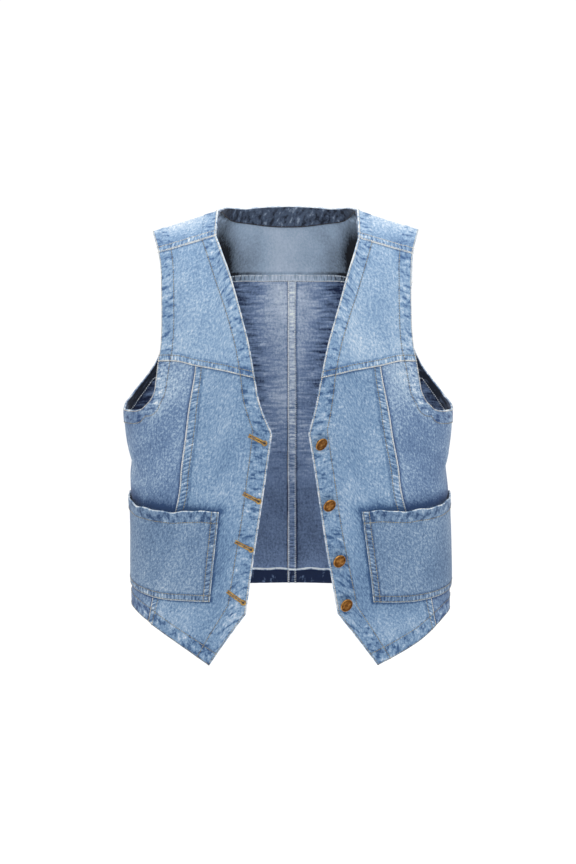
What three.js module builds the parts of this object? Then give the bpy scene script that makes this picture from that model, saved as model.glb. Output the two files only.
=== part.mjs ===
// A sleeveless denim vest, worn open: hollow and filled out as it stands on a wearer.
// Millimetres. X runs to the wearer's left, Y to the back and Z up.
// The origin is level with the tops of the shoulders, midway between the two sides of the neck.

import * as THREE from 'three';

// Cloth walls
const clothThickness = 1.6;
const bandRise = 0.8; // extra height where a hem, facing or felled seam lies double
const stepWidth = 0.8; // run of the step at the edge of such a band
const seamGap = 0.3; // between two pieces at a seam
const facingThickness = 1.2;
const foldRise = 0.8; // extra depth of the hem's turned-up fold on the inside

// Widths of the sewn bands
const edgeBand = 20; // neck and front edges
const hemBand = 20;
const armholeBand = 19;
const fellBand = 9.5;
const centreFellBand = 10.5;
const neckFacingWidth = 32; // at the centre back; it narrows towards the sides of the neck
const neckFacingEnd = 4;
const neckFacingStart = 0.2; // share of the way to the centre back at which it starts to widen
const neckFacingGap = 0.8; // under the rise of the yoke's own edge

// Shoulder line, seen from the front: how far it has fallen at a distance from the centre.
// Inside the neck it stands above the ridge, which lifts the back neck edge to the same level.
const neckSideX = { right: 89, left: 87.5 };
const shoulderTipX = { right: 173, left: 167 };
const shoulderLine = [
  { x: 0, fall: -40.5 },
  { x: 30, fall: -39.5 },
  { x: 58, fall: -35 },
  { x: 75, fall: -21.5 },
  { x: 89, fall: -1.4 },
  { x: 100, fall: 3.2 },
  { x: 110, fall: 6.5 },
  { x: 173, fall: 27 },
  { x: 200, fall: 35.8 },
];

// Cross sections
const roundness = 2.4; // power of the rounded-box section, 2 would be an ellipse
const underarmDrop = 252;
const frontDomeDrop = 230; // where the front has curved out to its full depth
const backDomeDrop = 140;
const overScale = 100; // the shell's second coordinate is the root of drop over this
const girth = [
  { drop: 0, right: 200, left: 200, front: 104, back: 100 },
  { drop: 140, right: 200, left: 200, front: 104, back: 100 },
  { drop: 200, right: 204, left: 204, front: 104, back: 99 },
  { drop: 252, right: 210.5, left: 211.5, front: 104, back: 98 },
  { drop: 317, right: 206, left: 207.5, front: 102, back: 93 },
  { drop: 365, right: 203, left: 207, front: 102, back: 92 },
  { drop: 464, right: 203, left: 211, front: 104, back: 96 },
  { drop: 517, right: 203, left: 210, front: 103, back: 97 },
  { drop: 580, right: 203, left: 211, front: 103, back: 97 },
];

// Soft folds: angle round from centre front, height, half length and width, lean and depth
const folds = [
  { around: -38, z: -390, length: 95, width: 26, lean: 82, depth: 2.6 },
  { around: 36, z: -405, length: 85, width: 24, lean: 97, depth: 2.4 },
  { around: -82, z: -322, length: 48, width: 15, lean: -14, depth: 3.2 },
  { around: 84, z: -330, length: 44, width: 16, lean: 12, depth: 3.0 },
  { around: -128, z: -338, length: 62, width: 17, lean: 9, depth: 3.0 },
  { around: 134, z: -326, length: 55, width: 15, lean: -11, depth: 3.2 },
  { around: 150, z: -386, length: 70, width: 18, lean: -5, depth: 2.2 },
  { around: -154, z: -300, length: 66, width: 17, lean: 6, depth: 2.4 },
  { around: -140, z: -190, length: 58, width: 18, lean: 52, depth: 2.2 },
  { around: 142, z: -196, length: 62, width: 19, lean: -50, depth: 2.4 },
];
const foldRadius = 150; // turns the angle round the body into millimetres

// Outlines seen from the front, x measured from the centre
const neckEdgeAtSeam = { right: { x: 90, z: -27.5 }, left: { x: 88, z: -29.5 } };
const shoulderSeamEnd = { right: { x: 163.5, z: -50.6 }, left: { x: 157, z: -51.4 } };
const neckline = [
  { z: -232.7, right: 34.8, left: 34.8 },
  { z: -196.4, right: 41.6, left: 41.6 },
  { z: -161.5, right: 47.8, left: 48.8 },
  { z: -130, right: 55.5, left: 57.5 },
  { z: -100.5, right: 63.6, left: 66 },
  { z: -71, right: 72.6, left: 74.4 },
  { z: -49, right: 81, left: 81.6 },
];
const frontEdge = [
  { z: -270.6, right: 19.6, left: 25.3 },
  { z: -323.7, right: 27, left: 33.9 },
  { z: -372.5, right: 34.2, left: 41.1 },
  { z: -421.4, right: 41.6, left: 48.5 },
  { z: -470.5, right: 48.9, left: 57.2 },
  { z: -502, right: 53, left: 62.8 },
];
const hemPoint = { z: -571.5, right: 100.5, left: 114.2 };
const frontHem = {
  right: [{ x: 130, z: -552.5 }, { x: 155, z: -537.5 }, { x: 179, z: -522 }],
  left: [{ x: 148, z: -556 }, { x: 173, z: -542.5 }, { x: 190, z: -529 }],
};
const sideHem = { right: { x: 197, z: -512.5 }, left: { x: 204, z: -519.5 } };
const sideHemZ = { right: -509.5, left: -516.5 };
const backHemZ = [{ x: 0, z: -508 }, { x: 60, z: -508.5 }, { x: 120, z: -509.5 }, { x: 176, z: -511 }];
const yokeSeamFront = [{ x: 64, z: -196 }, { x: 89, z: -191 }];
const yokeSeamFrontOuter = [{ x: 140, z: -182.5 }];
const yokeSeamZ = { neckEdge: -201, armhole: -184 };
const princessSeam = [
  { z: -187, right: 115.8, left: 115.8 },
  { z: -204.5, right: 118, left: 118.5 },
  { z: -265, right: 128, left: 130 },
  { z: -314, right: 135.5, left: 139.5 },
  { z: -371.5, right: 144.6, left: 150.6 },
];
const frontArmhole = [
  { z: -72, right: 160, left: 155 },
  { z: -120, right: 158.5, left: 154.5 },
  { z: -162, right: 159.5, left: 157 },
  { z: -184, right: 163, left: 161.5 },
  { z: -207, right: 166, left: 165.5 },
  { z: -224, right: 169, left: 169 },
  { z: -239, right: 178.5, left: 178.5 },
  { z: -248, right: 193, left: 193 },
];
const backYokeArmhole = [
  { z: -52, right: 168, left: 163.5 },
  { z: -74, right: 164.5, left: 162.5 },
];
const yokeCorner = { x: 162.5, z: -97 };
const backYokeSeam = [{ x: 0, z: -97 }, { x: 60, z: -97 }, { x: 120, z: -97 }];
const backArmhole = [
  { x: 161.5, z: -116 },
  { x: 161, z: -140 },
  { x: 165, z: -175 },
  { x: 174, z: -200 },
  { x: 183, z: -214 },
  { x: 193, z: -227 },
  { x: 205, z: -242 },
];

// The back of the neck, seen from above
const neckPlan = [{ x: 85, y: 22 }, { x: 75, y: 45 }, { x: 58, y: 58 }, { x: 30, y: 60 }];

// Where the armhole turns from upright to level, as a share of its length below the yoke
const frontTurn = 0.4;
const backTurn = 0.56;
const frontTurnZ = -240; // the grid row that meets that turn, on the princess seam
const backTurnZ = -214; // and on the centre back seam
const backTurnHemX = 172;
const frontTurnHemShare = 0.3;
const cornerRounding = 0.24; // draws the band's inner corner in towards that turn

// Patch pockets, on the front side of the side seam
const pocketLift = 3; // clear of the cloth and of the seam band under it
const pocketSideLift = 2; // less at the side seam, where there is no band
const pocketGape = 10; // how far the mouth stands open
const pocketMouthBand = 15.6;
const pocketOutline = {
  right: {
    top: [{ x: 86.8, z: -371.4 }, { x: 112, z: -370 }, { x: 140, z: -372.5 }, { x: 178, z: -370.5 }],
    bottom: [{ x: 98.8, z: -487.2 }, { x: 136, z: -488.5 }, { x: 169, z: -488.5 }],
    sideTop: -361.5,
    sideBottom: -479,
  },
  left: {
    top: [{ x: 93, z: -371 }, { x: 118, z: -370 }, { x: 145, z: -371.5 }, { x: 183, z: -369 }],
    bottom: [{ x: 108, z: -488 }, { x: 144, z: -491 }, { x: 176, z: -491 }],
    sideTop: -361.5,
    sideBottom: -484,
  },
};

// Shank buttons down the wearer's left front edge, and the tacks that hold them
const buttonRadius = 8.7;
const buttonSlices = 20;
const footRadius = 2.6;
const footGap = 0.4;
const neckRadius = 2.1;
const capHeight = 4.4; // from the middle of the foot to the underside of the cap
const capThickness = 2.2;
const capEdge = 0.7; // rounding of the cap's edge
const rimWidth = 2.1; // raised rim round its sunk face
const faceDepth = 0.5;
const tackRadius = 4.5;
const tackThickness = 1.3;
const tackEdge = 0.4;
const tackGap = 0.6;
const buttons = [
  { x: 38.6, z: -280.5, lean: 40, toward: -35 },
  { x: 49.4, z: -358.8, lean: 33, toward: -45 },
  { x: 61.9, z: -430.6, lean: 28, toward: -38 },
  { x: 70.7, z: -487.5, lean: 28, toward: -30 },
];

// Colours and finish
const denim = { color: 0x86a2c3, roughness: 0.92, metalness: 0 };
const denimYoke = { color: 0x96b0ce, roughness: 0.92, metalness: 0 };
const denimInside = { color: 0x4a5870, roughness: 0.95, metalness: 0 };
const brass = { color: 0xa0702e, roughness: 0.42, metalness: 0.9 };

const sides = [{ name: 'right', sign: -1 }, { name: 'left', sign: 1 }];
const halfTurn = Math.PI;
const sideTurn = Math.PI / 2;
const degree = Math.PI / 180;
const nudge = 1e-3; // step for slopes and normals

// Reads a table's column on a smooth curve through its rows, which follow the by column
function readTable(rows, by, key, at) {
  const last = rows.length - 1;
  const found = rows.findIndex((row) => row[by] > at);
  const next = found < 0 ? last : Math.max(1, found);
  const slopeAt = (index) => {
    const before = rows[Math.max(0, index - 1)];
    const after = rows[Math.min(last, index + 1)];
    return (after[key] - before[key]) / (after[by] - before[by]);
  };
  const low = rows[next - 1];
  const high = rows[next];
  const span = high[by] - low[by];
  const t = THREE.MathUtils.clamp((at - low[by]) / span, 0, 1);
  const rise = t * t * (3 - 2 * t);
  const leave = t * (1 - t) * (1 - t) * span * slopeAt(next - 1);
  const arrive = t * t * (t - 1) * span * slopeAt(next);
  return low[key] + (high[key] - low[key]) * rise + leave + arrive;
}

function girthAt(key, drop) {
  return readTable(girth, 'drop', key, drop);
}

function shoulderFall(x) {
  return readTable(shoulderLine, 'x', 'fall', Math.abs(x));
}

// The shoulder's slope dies away towards the underarm, where sections are level
function slopeShare(drop) {
  return drop >= underarmDrop ? 0 : (1 - drop / underarmDrop) ** 2;
}

// A quarter round, from nothing at the ridge to the full depth lower down
function domeShare(drop, fullDrop) {
  const left = 1 - Math.min(1, drop / fullDrop);
  return Math.sqrt(1 - left * left);
}

// Depth of the soft folds at an angle round the body and a height
function foldDepth(turn, front, z) {
  const around = front ? turn : Math.sign(turn || 1) * halfTurn - turn;
  let depth = 0;
  for (const fold of folds) {
    const offset = (around - fold.around * degree) * foldRadius;
    const level = z - fold.z;
    const lean = fold.lean * degree;
    const along = offset * Math.cos(lean) + level * Math.sin(lean);
    const across = level * Math.cos(lean) - offset * Math.sin(lean);
    depth += fold.depth * Math.exp(-((along / fold.length) ** 2) - (across / fold.width) ** 2);
  }
  return depth;
}

// The garment's inner face. Turn goes from 0 at the centre to a quarter at the side seam.
// Over is 0 on the shoulder ridge, grows down the front and goes below 0 down the back.
function shellAt(turn, over) {
  const drop = overScale * over * over;
  const front = over >= 0;
  const sine = Math.sin(turn);
  const cosine = Math.cos(turn);
  const power = Math.abs(sine) ** roundness + Math.abs(cosine) ** roundness;
  const reach = power ** (-1 / roundness);
  const width = girthAt(turn < 0 ? 'right' : 'left', drop);
  const depth = front
    ? -girthAt('front', drop) * domeShare(drop, frontDomeDrop)
    : girthAt('back', drop) * domeShare(drop, backDomeDrop);
  const x = width * sine * reach;
  const z = -drop - shoulderFall(x) * slopeShare(drop);
  const keep = 1 - foldDepth(turn, front, z) / foldRadius;
  return new THREE.Vector3(x * keep, depth * cosine * reach * keep, z);
}

// The shell's outward normal
function normalAt(turn, over) {
  const aside = shellAt(turn + nudge, over).sub(shellAt(turn - nudge, over));
  const down = shellAt(turn, over + nudge).sub(shellAt(turn, over - nudge));
  return down.cross(aside).normalize();
}

// The place on the shell that lies at x and z seen from the front
function placeAt(x, z, front) {
  let drop = -z;
  for (let pass = 0; pass < 12; pass += 1) {
    drop = -z - shoulderFall(x) * slopeShare(drop);
  }
  const width = girthAt(x < 0 ? 'right' : 'left', drop);
  const share = Math.min(1, Math.abs(x) / width);
  const rest = (1 - share ** roundness) ** (1 / roundness);
  const over = Math.sqrt(drop / overScale);
  return new THREE.Vector2(Math.sign(x) * Math.atan2(share, rest), front ? over : -over);
}

// The place on the back of the shell that lies at x and y seen from above
function placeFromAbove(x, y) {
  const share = Math.abs(x) / girth[0].left;
  const rest = (1 - share ** roundness) ** (1 / roundness);
  const depthShare = y / (girth[0].back * rest);
  const drop = backDomeDrop * (1 - Math.sqrt(1 - depthShare * depthShare));
  return new THREE.Vector2(Math.sign(x) * Math.atan2(share, rest), -Math.sqrt(drop / overScale));
}

// The place on the shoulder ridge at x
function placeOnRidge(x) {
  const share = Math.abs(x) / girth[0].left;
  const rest = (1 - share ** roundness) ** (1 / roundness);
  return new THREE.Vector2(Math.sign(x) * Math.atan2(share, rest), 0);
}

// The place on a side seam at a height
function placeOnSide(sign, z, front) {
  const over = Math.sqrt(-z / overScale);
  return new THREE.Vector2(sign * sideTurn, front ? over : -over);
}

function distanceBetween(a, b) {
  return shellAt(a.x, a.y).distanceTo(shellAt(b.x, b.y));
}

// A line drawn on the shell through smooth runs of places, measured in millimetres
function drawLine(...runs) {
  const stepsPerSpan = 12;
  const places = [];
  for (const run of runs) {
    const curve = new THREE.SplineCurve(run);
    const steps = (run.length - 1) * stepsPerSpan;
    for (let step = places.length ? 1 : 0; step <= steps; step += 1) {
      places.push(curve.getPoint(step / steps));
    }
  }
  const marks = [0];
  for (let index = 1; index < places.length; index += 1) {
    marks.push(marks[index - 1] + distanceBetween(places[index - 1], places[index]));
  }
  return { places, marks, length: marks[marks.length - 1] };
}

// The place at a distance along a line
function along(line, distance) {
  const last = line.marks.length - 1;
  const found = line.marks.findIndex((mark) => mark >= distance);
  const next = found < 0 ? last : Math.max(1, found);
  const span = line.marks[next] - line.marks[next - 1];
  const share = THREE.MathUtils.clamp((distance - line.marks[next - 1]) / span, 0, 1);
  return line.places[next - 1].clone().lerp(line.places[next], share);
}

// The distance along a line at which it first drops below, or rises above, a height
function distanceWhereZ(line, z) {
  const heights = line.places.map((place) => shellAt(place.x, place.y).z);
  const falling = heights[0] > z;
  const next = heights.findIndex((height) => (falling ? height <= z : height >= z));
  const share = (z - heights[next - 1]) / (heights[next] - heights[next - 1]);
  return line.marks[next - 1] + share * (line.marks[next] - line.marks[next - 1]);
}

// Distances for grid lines: some near the start, some even ones and some near the end
function spaced(length, head, evenCount, tail) {
  const from = head[head.length - 1];
  const reach = length - tail[0] - from;
  const even = [];
  for (let index = 1; index <= evenCount; index += 1) {
    even.push(from + (reach * index) / (evenCount + 1));
  }
  return [...head, ...even, ...tail.map((distance) => length - distance)];
}

// Places on a line between two distances, laid out by spaced
function mark(line, from, to, head, evenCount, tail) {
  const direction = Math.sign(to - from);
  const distances = spaced(Math.abs(to - from), head, evenCount, tail);
  return distances.map((distance) => along(line, from + direction * distance));
}

function bandHead(width) {
  return [0, width, width + stepWidth];
}

function bandTail(width) {
  return [width + stepWidth, width, 0];
}

function emptyGrid(columns, rows) {
  return Array.from({ length: rows }, () => new Array(columns));
}

function setRow(grid, row, fromColumn, places) {
  places.forEach((place, index) => {
    grid[row][fromColumn + index] = place.clone();
  });
}

function setColumn(grid, column, fromRow, places) {
  places.forEach((place, index) => {
    grid[fromRow + index][column] = place.clone();
  });
}

// Shares of the way along a list of places
function sharesOf(places) {
  const marks = [0];
  for (let index = 1; index < places.length; index += 1) {
    marks.push(marks[index - 1] + distanceBetween(places[index - 1], places[index]));
  }
  return marks.map((value) => value / marks[marks.length - 1]);
}

// Fills a block of the grid between its four borders, keeping each border's own spacing
function fillBlock(grid, left, right, bottom, top) {
  const rowAt = (row) => grid[row].slice(left, right + 1);
  const columnAt = (column) => grid.slice(bottom, top + 1).map((row) => row[column]);
  const low = sharesOf(rowAt(bottom));
  const high = sharesOf(rowAt(top));
  const near = sharesOf(columnAt(left));
  const far = sharesOf(columnAt(right));
  const corners = [grid[bottom][left], grid[bottom][right], grid[top][left], grid[top][right]];
  for (let row = bottom + 1; row < top; row += 1) {
    for (let column = left + 1; column < right; column += 1) {
      const i = column - left;
      const j = row - bottom;
      const middle = (near[j] + far[j]) / 2;
      const u = low[i] * (1 - middle) + high[i] * middle;
      const v = near[j] * (1 - u) + far[j] * u;
      const place = grid[row][left].clone().multiplyScalar(1 - u);
      place.addScaledVector(grid[row][right], u);
      place.addScaledVector(grid[bottom][column], 1 - v);
      place.addScaledVector(grid[top][column], v);
      place.addScaledVector(corners[0], -(1 - u) * (1 - v));
      place.addScaledVector(corners[1], -u * (1 - v));
      place.addScaledVector(corners[2], -(1 - u) * v);
      place.addScaledVector(corners[3], -u * v);
      grid[row][column] = place;
    }
  }
}

// Draws a piece's edge back from a seam, along the grid line that meets it
function trim(grid, column, row, columnStep, rowStep) {
  const here = grid[row][column];
  const next = grid[row + rowStep][column + columnStep];
  here.lerp(next, seamGap / 2 / distanceBetween(here, next));
}

function trimRow(grid, row, rowStep, toColumn = grid[0].length - 1) {
  for (let column = 0; column <= toColumn; column += 1) {
    trim(grid, column, row, 0, rowStep);
  }
}

function trimColumn(grid, column, columnStep, toRow = grid.length - 1) {
  for (let row = 0; row <= toRow; row += 1) {
    trim(grid, column, row, columnStep, 0);
  }
}

// Closes an inner and an outer skin over the grid's cells into one solid
function makeWall(name, grid, finish, innerLift, outerLift, holdsCell = () => true) {
  const positions = [];
  const numbers = new Map();
  const vertex = (column, row, outer) => {
    const key = `${column} ${row} ${outer}`;
    if (!numbers.has(key)) {
      const place = grid[row][column];
      const lift = outer ? outerLift(column, row) : innerLift(column, row);
      const point = shellAt(place.x, place.y).addScaledVector(normalAt(place.x, place.y), lift);
      numbers.set(key, positions.length / 3);
      positions.push(point.x, point.y, point.z);
    }
    return numbers.get(key);
  };
  const faces = [];
  const addQuad = (a, b, c, d) => faces.push(a, b, c, a, c, d);
  const holds = (column, row) => row >= 0 && column >= 0 && row < grid.length - 1
    && column < grid[0].length - 1 && holdsCell(column, row);
  for (let row = 0; row < grid.length - 1; row += 1) {
    for (let column = 0; column < grid[0].length - 1; column += 1) {
      if (!holds(column, row)) {
        continue;
      }
      const corners = [[column, row], [column + 1, row], [column + 1, row + 1], [column, row + 1]];
      const beyond = [[column, row - 1], [column + 1, row], [column, row + 1], [column - 1, row]];
      const [a, b, c, d] = corners.map((corner) => vertex(...corner, true));
      const [e, f, g, h] = corners.map((corner) => vertex(...corner, false));
      faces.push(a, b, c, a, c, d, e, g, f, e, h, g);
      beyond.forEach((cell, index) => {
        if (!holds(...cell)) {
          const from = corners[index];
          const to = corners[(index + 1) % 4];
          addQuad(vertex(...to, true), vertex(...from, true), vertex(...from, false), vertex(...to, false));
        }
      });
    }
  }
  const geometry = new THREE.BufferGeometry();
  geometry.setAttribute('position', new THREE.Float32BufferAttribute(positions, 3));
  geometry.setIndex(enclosedVolume(positions, faces) < 0 ? [...faces].reverse() : faces);
  return finishMesh(name, geometry, finish);
}

function enclosedVolume(positions, faces) {
  const corner = (index) => new THREE.Vector3().fromArray(positions, faces[index] * 3);
  let volume = 0;
  for (let index = 0; index < faces.length; index += 3) {
    volume += corner(index).dot(corner(index + 1).cross(corner(index + 2))) / 6;
  }
  return volume;
}

function finishMesh(name, geometry, finish) {
  geometry.computeVertexNormals();
  const mesh = new THREE.Mesh(geometry, new THREE.MeshStandardMaterial(finish));
  mesh.name = name;
  return mesh;
}

const flatLift = () => 0;
const facingLift = (gap) => [() => -gap - facingThickness, () => -gap];

function raised(isBand) {
  return (column, row) => clothThickness + (isBand(column, row) ? bandRise : 0);
}

// Lines on the shell that neighbouring pieces share, for one side of the vest
function drawSide({ name, sign }) {
  const onFront = (point) => placeAt(sign * point.x, point.z, true);
  const onBack = (point) => placeAt(sign * point.x, point.z, false);
  const listed = (rows) => rows.map((row) => placeAt(sign * row[name], row.z, true));
  const neckAtSeam = onFront(neckEdgeAtSeam[name]);
  const seamEnd = onFront(shoulderSeamEnd[name]);
  const frontPlaces = listed(frontEdge);
  const neck = drawLine([frontPlaces[0], ...listed(neckline), neckAtSeam]);
  const front = drawLine([...frontPlaces].reverse());
  const point = placeAt(sign * hemPoint[name], hemPoint.z, true);
  const slant = drawLine([point, frontPlaces[frontPlaces.length - 1]]);
  const armhole = drawLine([seamEnd, ...listed(frontArmhole), placeOnSide(sign, -underarmDrop, true)]);
  const shoulder = drawLine([neckAtSeam, seamEnd]);
  const princess = listed(princessSeam);
  const neckAtYoke = distanceWhereZ(neck, yokeSeamZ.neckEdge);
  const armholeAtYoke = distanceWhereZ(armhole, yokeSeamZ.armhole);
  const yokeInner = drawLine([along(neck, neckAtYoke), ...yokeSeamFront.map(onFront), princess[0]]);
  const yokeOuter = drawLine([
    princess[0],
    ...yokeSeamFrontOuter.map(onFront),
    along(armhole, armholeAtYoke),
  ]);
  const hemPlaces = frontHem[name].map(onFront);
  const hemInner = drawLine([point, ...hemPlaces]);
  const sideEnd = placeOnSide(sign, sideHemZ[name], true);
  const hemOuter = drawLine([hemPlaces[hemPlaces.length - 1], onFront(sideHem[name]), sideEnd]);
  const seam = drawLine([hemPlaces[hemPlaces.length - 1], ...[...princess].reverse()]);
  const side = drawLine([sideEnd, placeOnSide(sign, -underarmDrop, true)]);
  const sideBack = drawLine([
    placeOnSide(sign, sideHemZ[name], false),
    placeOnSide(sign, -underarmDrop, false),
  ]);
  const neckBack = drawLine([
    neckAtSeam,
    placeOnRidge(sign * neckSideX[name]),
    ...neckPlan.map((row) => placeFromAbove(sign * row.x, row.y)),
    centreBack(placeFromAbove(sign * nudge, neckPlan[neckPlan.length - 1].y)),
  ]);
  const corner = onBack(yokeCorner);
  const yokeArmhole = drawLine([
    seamEnd,
    placeOnRidge(sign * shoulderTipX[name]),
    ...backYokeArmhole.map((row) => placeAt(sign * row[name], row.z, false)),
    corner,
  ]);
  const yokeBack = drawLine([...backYokeSeam.map((row) => backPlace(sign, row)), corner]);
  const backHem = drawLine([
    ...backHemZ.map((row) => backPlace(sign, row)),
    placeOnSide(sign, sideHemZ[name], false),
  ]);
  const backOpening = drawLine([
    corner,
    ...backArmhole.map(onBack),
    placeOnSide(sign, -underarmDrop, false),
  ]);
  const backTop = backPlace(sign, backYokeSeam[0]);
  const centre = drawLine([backPlace(sign, backHemZ[0]), backTop]);
  return {
    name, sign, neck, front, slant, armhole, shoulder, neckAtYoke, armholeAtYoke, yokeInner,
    yokeOuter, hemInner, hemOuter, seam, side, sideBack, neckBack, yokeArmhole, yokeBack, backHem,
    backOpening, centre,
  };
}

// A place on the back, which lies on the centre line when its x is nought
function backPlace(sign, row) {
  const place = placeAt(sign * Math.max(row.x, nudge), row.z, false);
  return row.x === 0 ? centreBack(place) : place;
}

function centreBack(place) {
  return new THREE.Vector2(0, place.y);
}

// Grid counts that neighbouring pieces share
const evenBelowTurn = 8;
const frontEvenAboveTurn = 2;
const backEvenAboveTurn = 4;
const evenTurnToSide = 5;
const turnRow = evenBelowTurn + 5;
const shoulderEven = 5;
const yokeEvenUp = 6;
const backEvenAcross = 4;
const hemCornerRow = 4; // the row that meets the lower corner of the front edge
const pocketEvenAcross = 11;
const pocketEvenUp = 5;

// Columns of the upper front, from the neck edge to the armhole
function shoulderPlaces(lines) {
  const { shoulder } = lines;
  return mark(shoulder, 0, shoulder.length, bandHead(edgeBand), shoulderEven, bandTail(armholeBand));
}

function yokeInnerPlaces(lines) {
  return mark(lines.yokeInner, 0, lines.yokeInner.length, bandHead(edgeBand), 1, bandTail(fellBand));
}

function yokeOuterPlaces(lines) {
  return mark(lines.yokeOuter, 0, lines.yokeOuter.length, [0], 1, bandTail(armholeBand));
}

// Rows of the lower front on the princess seam, from the hem up to the yoke seam
function princessPlaces(lines) {
  const turn = distanceWhereZ(lines.seam, frontTurnZ);
  const below = mark(lines.seam, 0, turn, bandHead(hemBand), evenBelowTurn, bandTail(armholeBand));
  const above = mark(lines.seam, turn, lines.seam.length, [0], frontEvenAboveTurn, [0]);
  return [...below, ...above.slice(1)];
}

function sidePlaces(line) {
  return mark(line, 0, line.length, bandHead(hemBand), evenBelowTurn, bandTail(armholeBand));
}

// Columns of the back below the yoke, from the centre seam to the armhole
function backSeamPlaces(lines) {
  const head = bandHead(centreFellBand);
  return mark(lines.yokeBack, 0, lines.yokeBack.length, head, backEvenAcross, bandTail(armholeBand));
}

function frontYoke(lines) {
  const bottomRow = [...yokeInnerPlaces(lines), ...yokeOuterPlaces(lines).slice(1)];
  const columns = bottomRow.length;
  const climb = (line, from, to) => mark(line, from, to, bandHead(fellBand), yokeEvenUp, [0]);
  const inner = climb(lines.neck, lines.neckAtYoke, lines.neck.length);
  const outer = climb(lines.armhole, lines.armholeAtYoke, 0);
  const rows = inner.length;
  const grid = emptyGrid(columns, rows);
  setRow(grid, 0, 0, bottomRow);
  setRow(grid, rows - 1, 0, shoulderPlaces(lines));
  setColumn(grid, 0, 0, inner);
  setColumn(grid, columns - 1, 0, outer);
  fillBlock(grid, 0, columns - 1, 0, rows - 1);
  trimRow(grid, 0, 1);
  trimRow(grid, rows - 1, -1);
  const isBand = (column, row) => column <= 1 || column >= columns - 2 || row <= 1;
  return makeWall(`front_yoke_${lines.name}`, grid, denimYoke, flatLift, raised(isBand));
}

function frontCentre(lines) {
  const top = yokeInnerPlaces(lines);
  const outer = princessPlaces(lines);
  const columns = top.length;
  const rows = outer.length;
  const grid = emptyGrid(columns, rows);
  const frontEven = turnRow - hemCornerRow - 3;
  const frontTail = bandTail(armholeBand);
  setColumn(grid, 0, 0, mark(lines.slant, 0, lines.slant.length, bandHead(hemBand), 1, [0]));
  setColumn(grid, 0, hemCornerRow, mark(lines.front, 0, lines.front.length, [0], frontEven, frontTail));
  setColumn(grid, 0, turnRow, mark(lines.neck, 0, lines.neckAtYoke, [0], frontEvenAboveTurn, [0]));
  setColumn(grid, columns - 1, 0, outer);
  setRow(grid, rows - 1, 0, top);
  const hem = lines.hemInner;
  setRow(grid, 0, 0, mark(hem, 0, hem.length, bandHead(edgeBand), 1, bandTail(fellBand)));
  fillBlock(grid, 0, columns - 1, 0, rows - 1);
  trimRow(grid, rows - 1, -1);
  trimColumn(grid, columns - 1, -1);
  const isBand = (column, row) => column <= 1 || column >= columns - 2 || row <= 1;
  const isFold = (column, row) => (row <= 1 ? -foldRise : 0);
  return makeWall(`front_centre_${lines.name}`, grid, denim, isFold, raised(isBand));
}

// A panel that lies beside and below an armhole: the cells beyond its turn are left out
function armholePanel(parts) {
  const { turnColumn } = parts;
  const columns = parts.hem.length;
  const rows = parts.inner.length;
  const grid = emptyGrid(columns, rows);
  setColumn(grid, 0, 0, parts.inner);
  setRow(grid, 0, 0, parts.hem);
  setRow(grid, rows - 1, 0, parts.top);
  setColumn(grid, columns - 1, 0, parts.side);
  setColumn(grid, turnColumn, turnRow, parts.upright);
  setRow(grid, turnRow, turnColumn, parts.level);
  const turn = grid[turnRow][turnColumn];
  const inwards = drawLine([parts.inner[turnRow], turn]);
  const downwards = drawLine([parts.hem[turnColumn], turn]);
  setRow(grid, turnRow, 0, mark(inwards, 0, inwards.length, ...parts.columnSpacing));
  setColumn(grid, turnColumn, 0, sidePlaces(downwards));
  fillBlock(grid, 0, turnColumn, 0, turnRow);
  fillBlock(grid, turnColumn, columns - 1, 0, turnRow);
  fillBlock(grid, 0, turnColumn, turnRow, rows - 1);
  for (const back of [1, 2]) {
    grid[turnRow - back][turnColumn - back].lerp(turn, cornerRounding);
  }
  trimColumn(grid, 0, 1);
  trimRow(grid, rows - 1, -1, turnColumn);
  trimColumn(grid, columns - 1, -1, turnRow);
  return grid;
}

function frontSide(lines) {
  const top = yokeOuterPlaces(lines);
  const turnColumn = top.length - 1;
  const opening = lines.armhole;
  const turn = opening.length * frontTurn + lines.armholeAtYoke * (1 - frontTurn);
  const hemTurn = lines.hemOuter.length * frontTurnHemShare;
  const columnSpacing = [[0], 1, bandTail(armholeBand)];
  const hemTail = [armholeBand + stepWidth, armholeBand, 0].map((value) => value * frontTurnHemShare);
  const grid = armholePanel({
    turnColumn,
    columnSpacing,
    inner: princessPlaces(lines),
    top,
    hem: [
      ...mark(lines.hemOuter, 0, hemTurn, [0], 1, hemTail),
      ...mark(lines.hemOuter, hemTurn, lines.hemOuter.length, [0], evenTurnToSide, [0]).slice(1),
    ],
    side: sidePlaces(lines.side),
    upright: mark(opening, turn, lines.armholeAtYoke, [0], frontEvenAboveTurn, [0]),
    level: mark(opening, turn, opening.length, [0], evenTurnToSide, [0]),
  });
  const isBand = (column, row) => row <= 1 || (column >= turnColumn - 1 && row >= turnRow - 1);
  const holdsCell = (column, row) => column < turnColumn || row < turnRow;
  const isFold = (column, row) => (row <= 1 ? -foldRise : 0);
  return makeWall(`front_side_${lines.name}`, grid, denim, isFold, raised(isBand), holdsCell);
}

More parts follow.
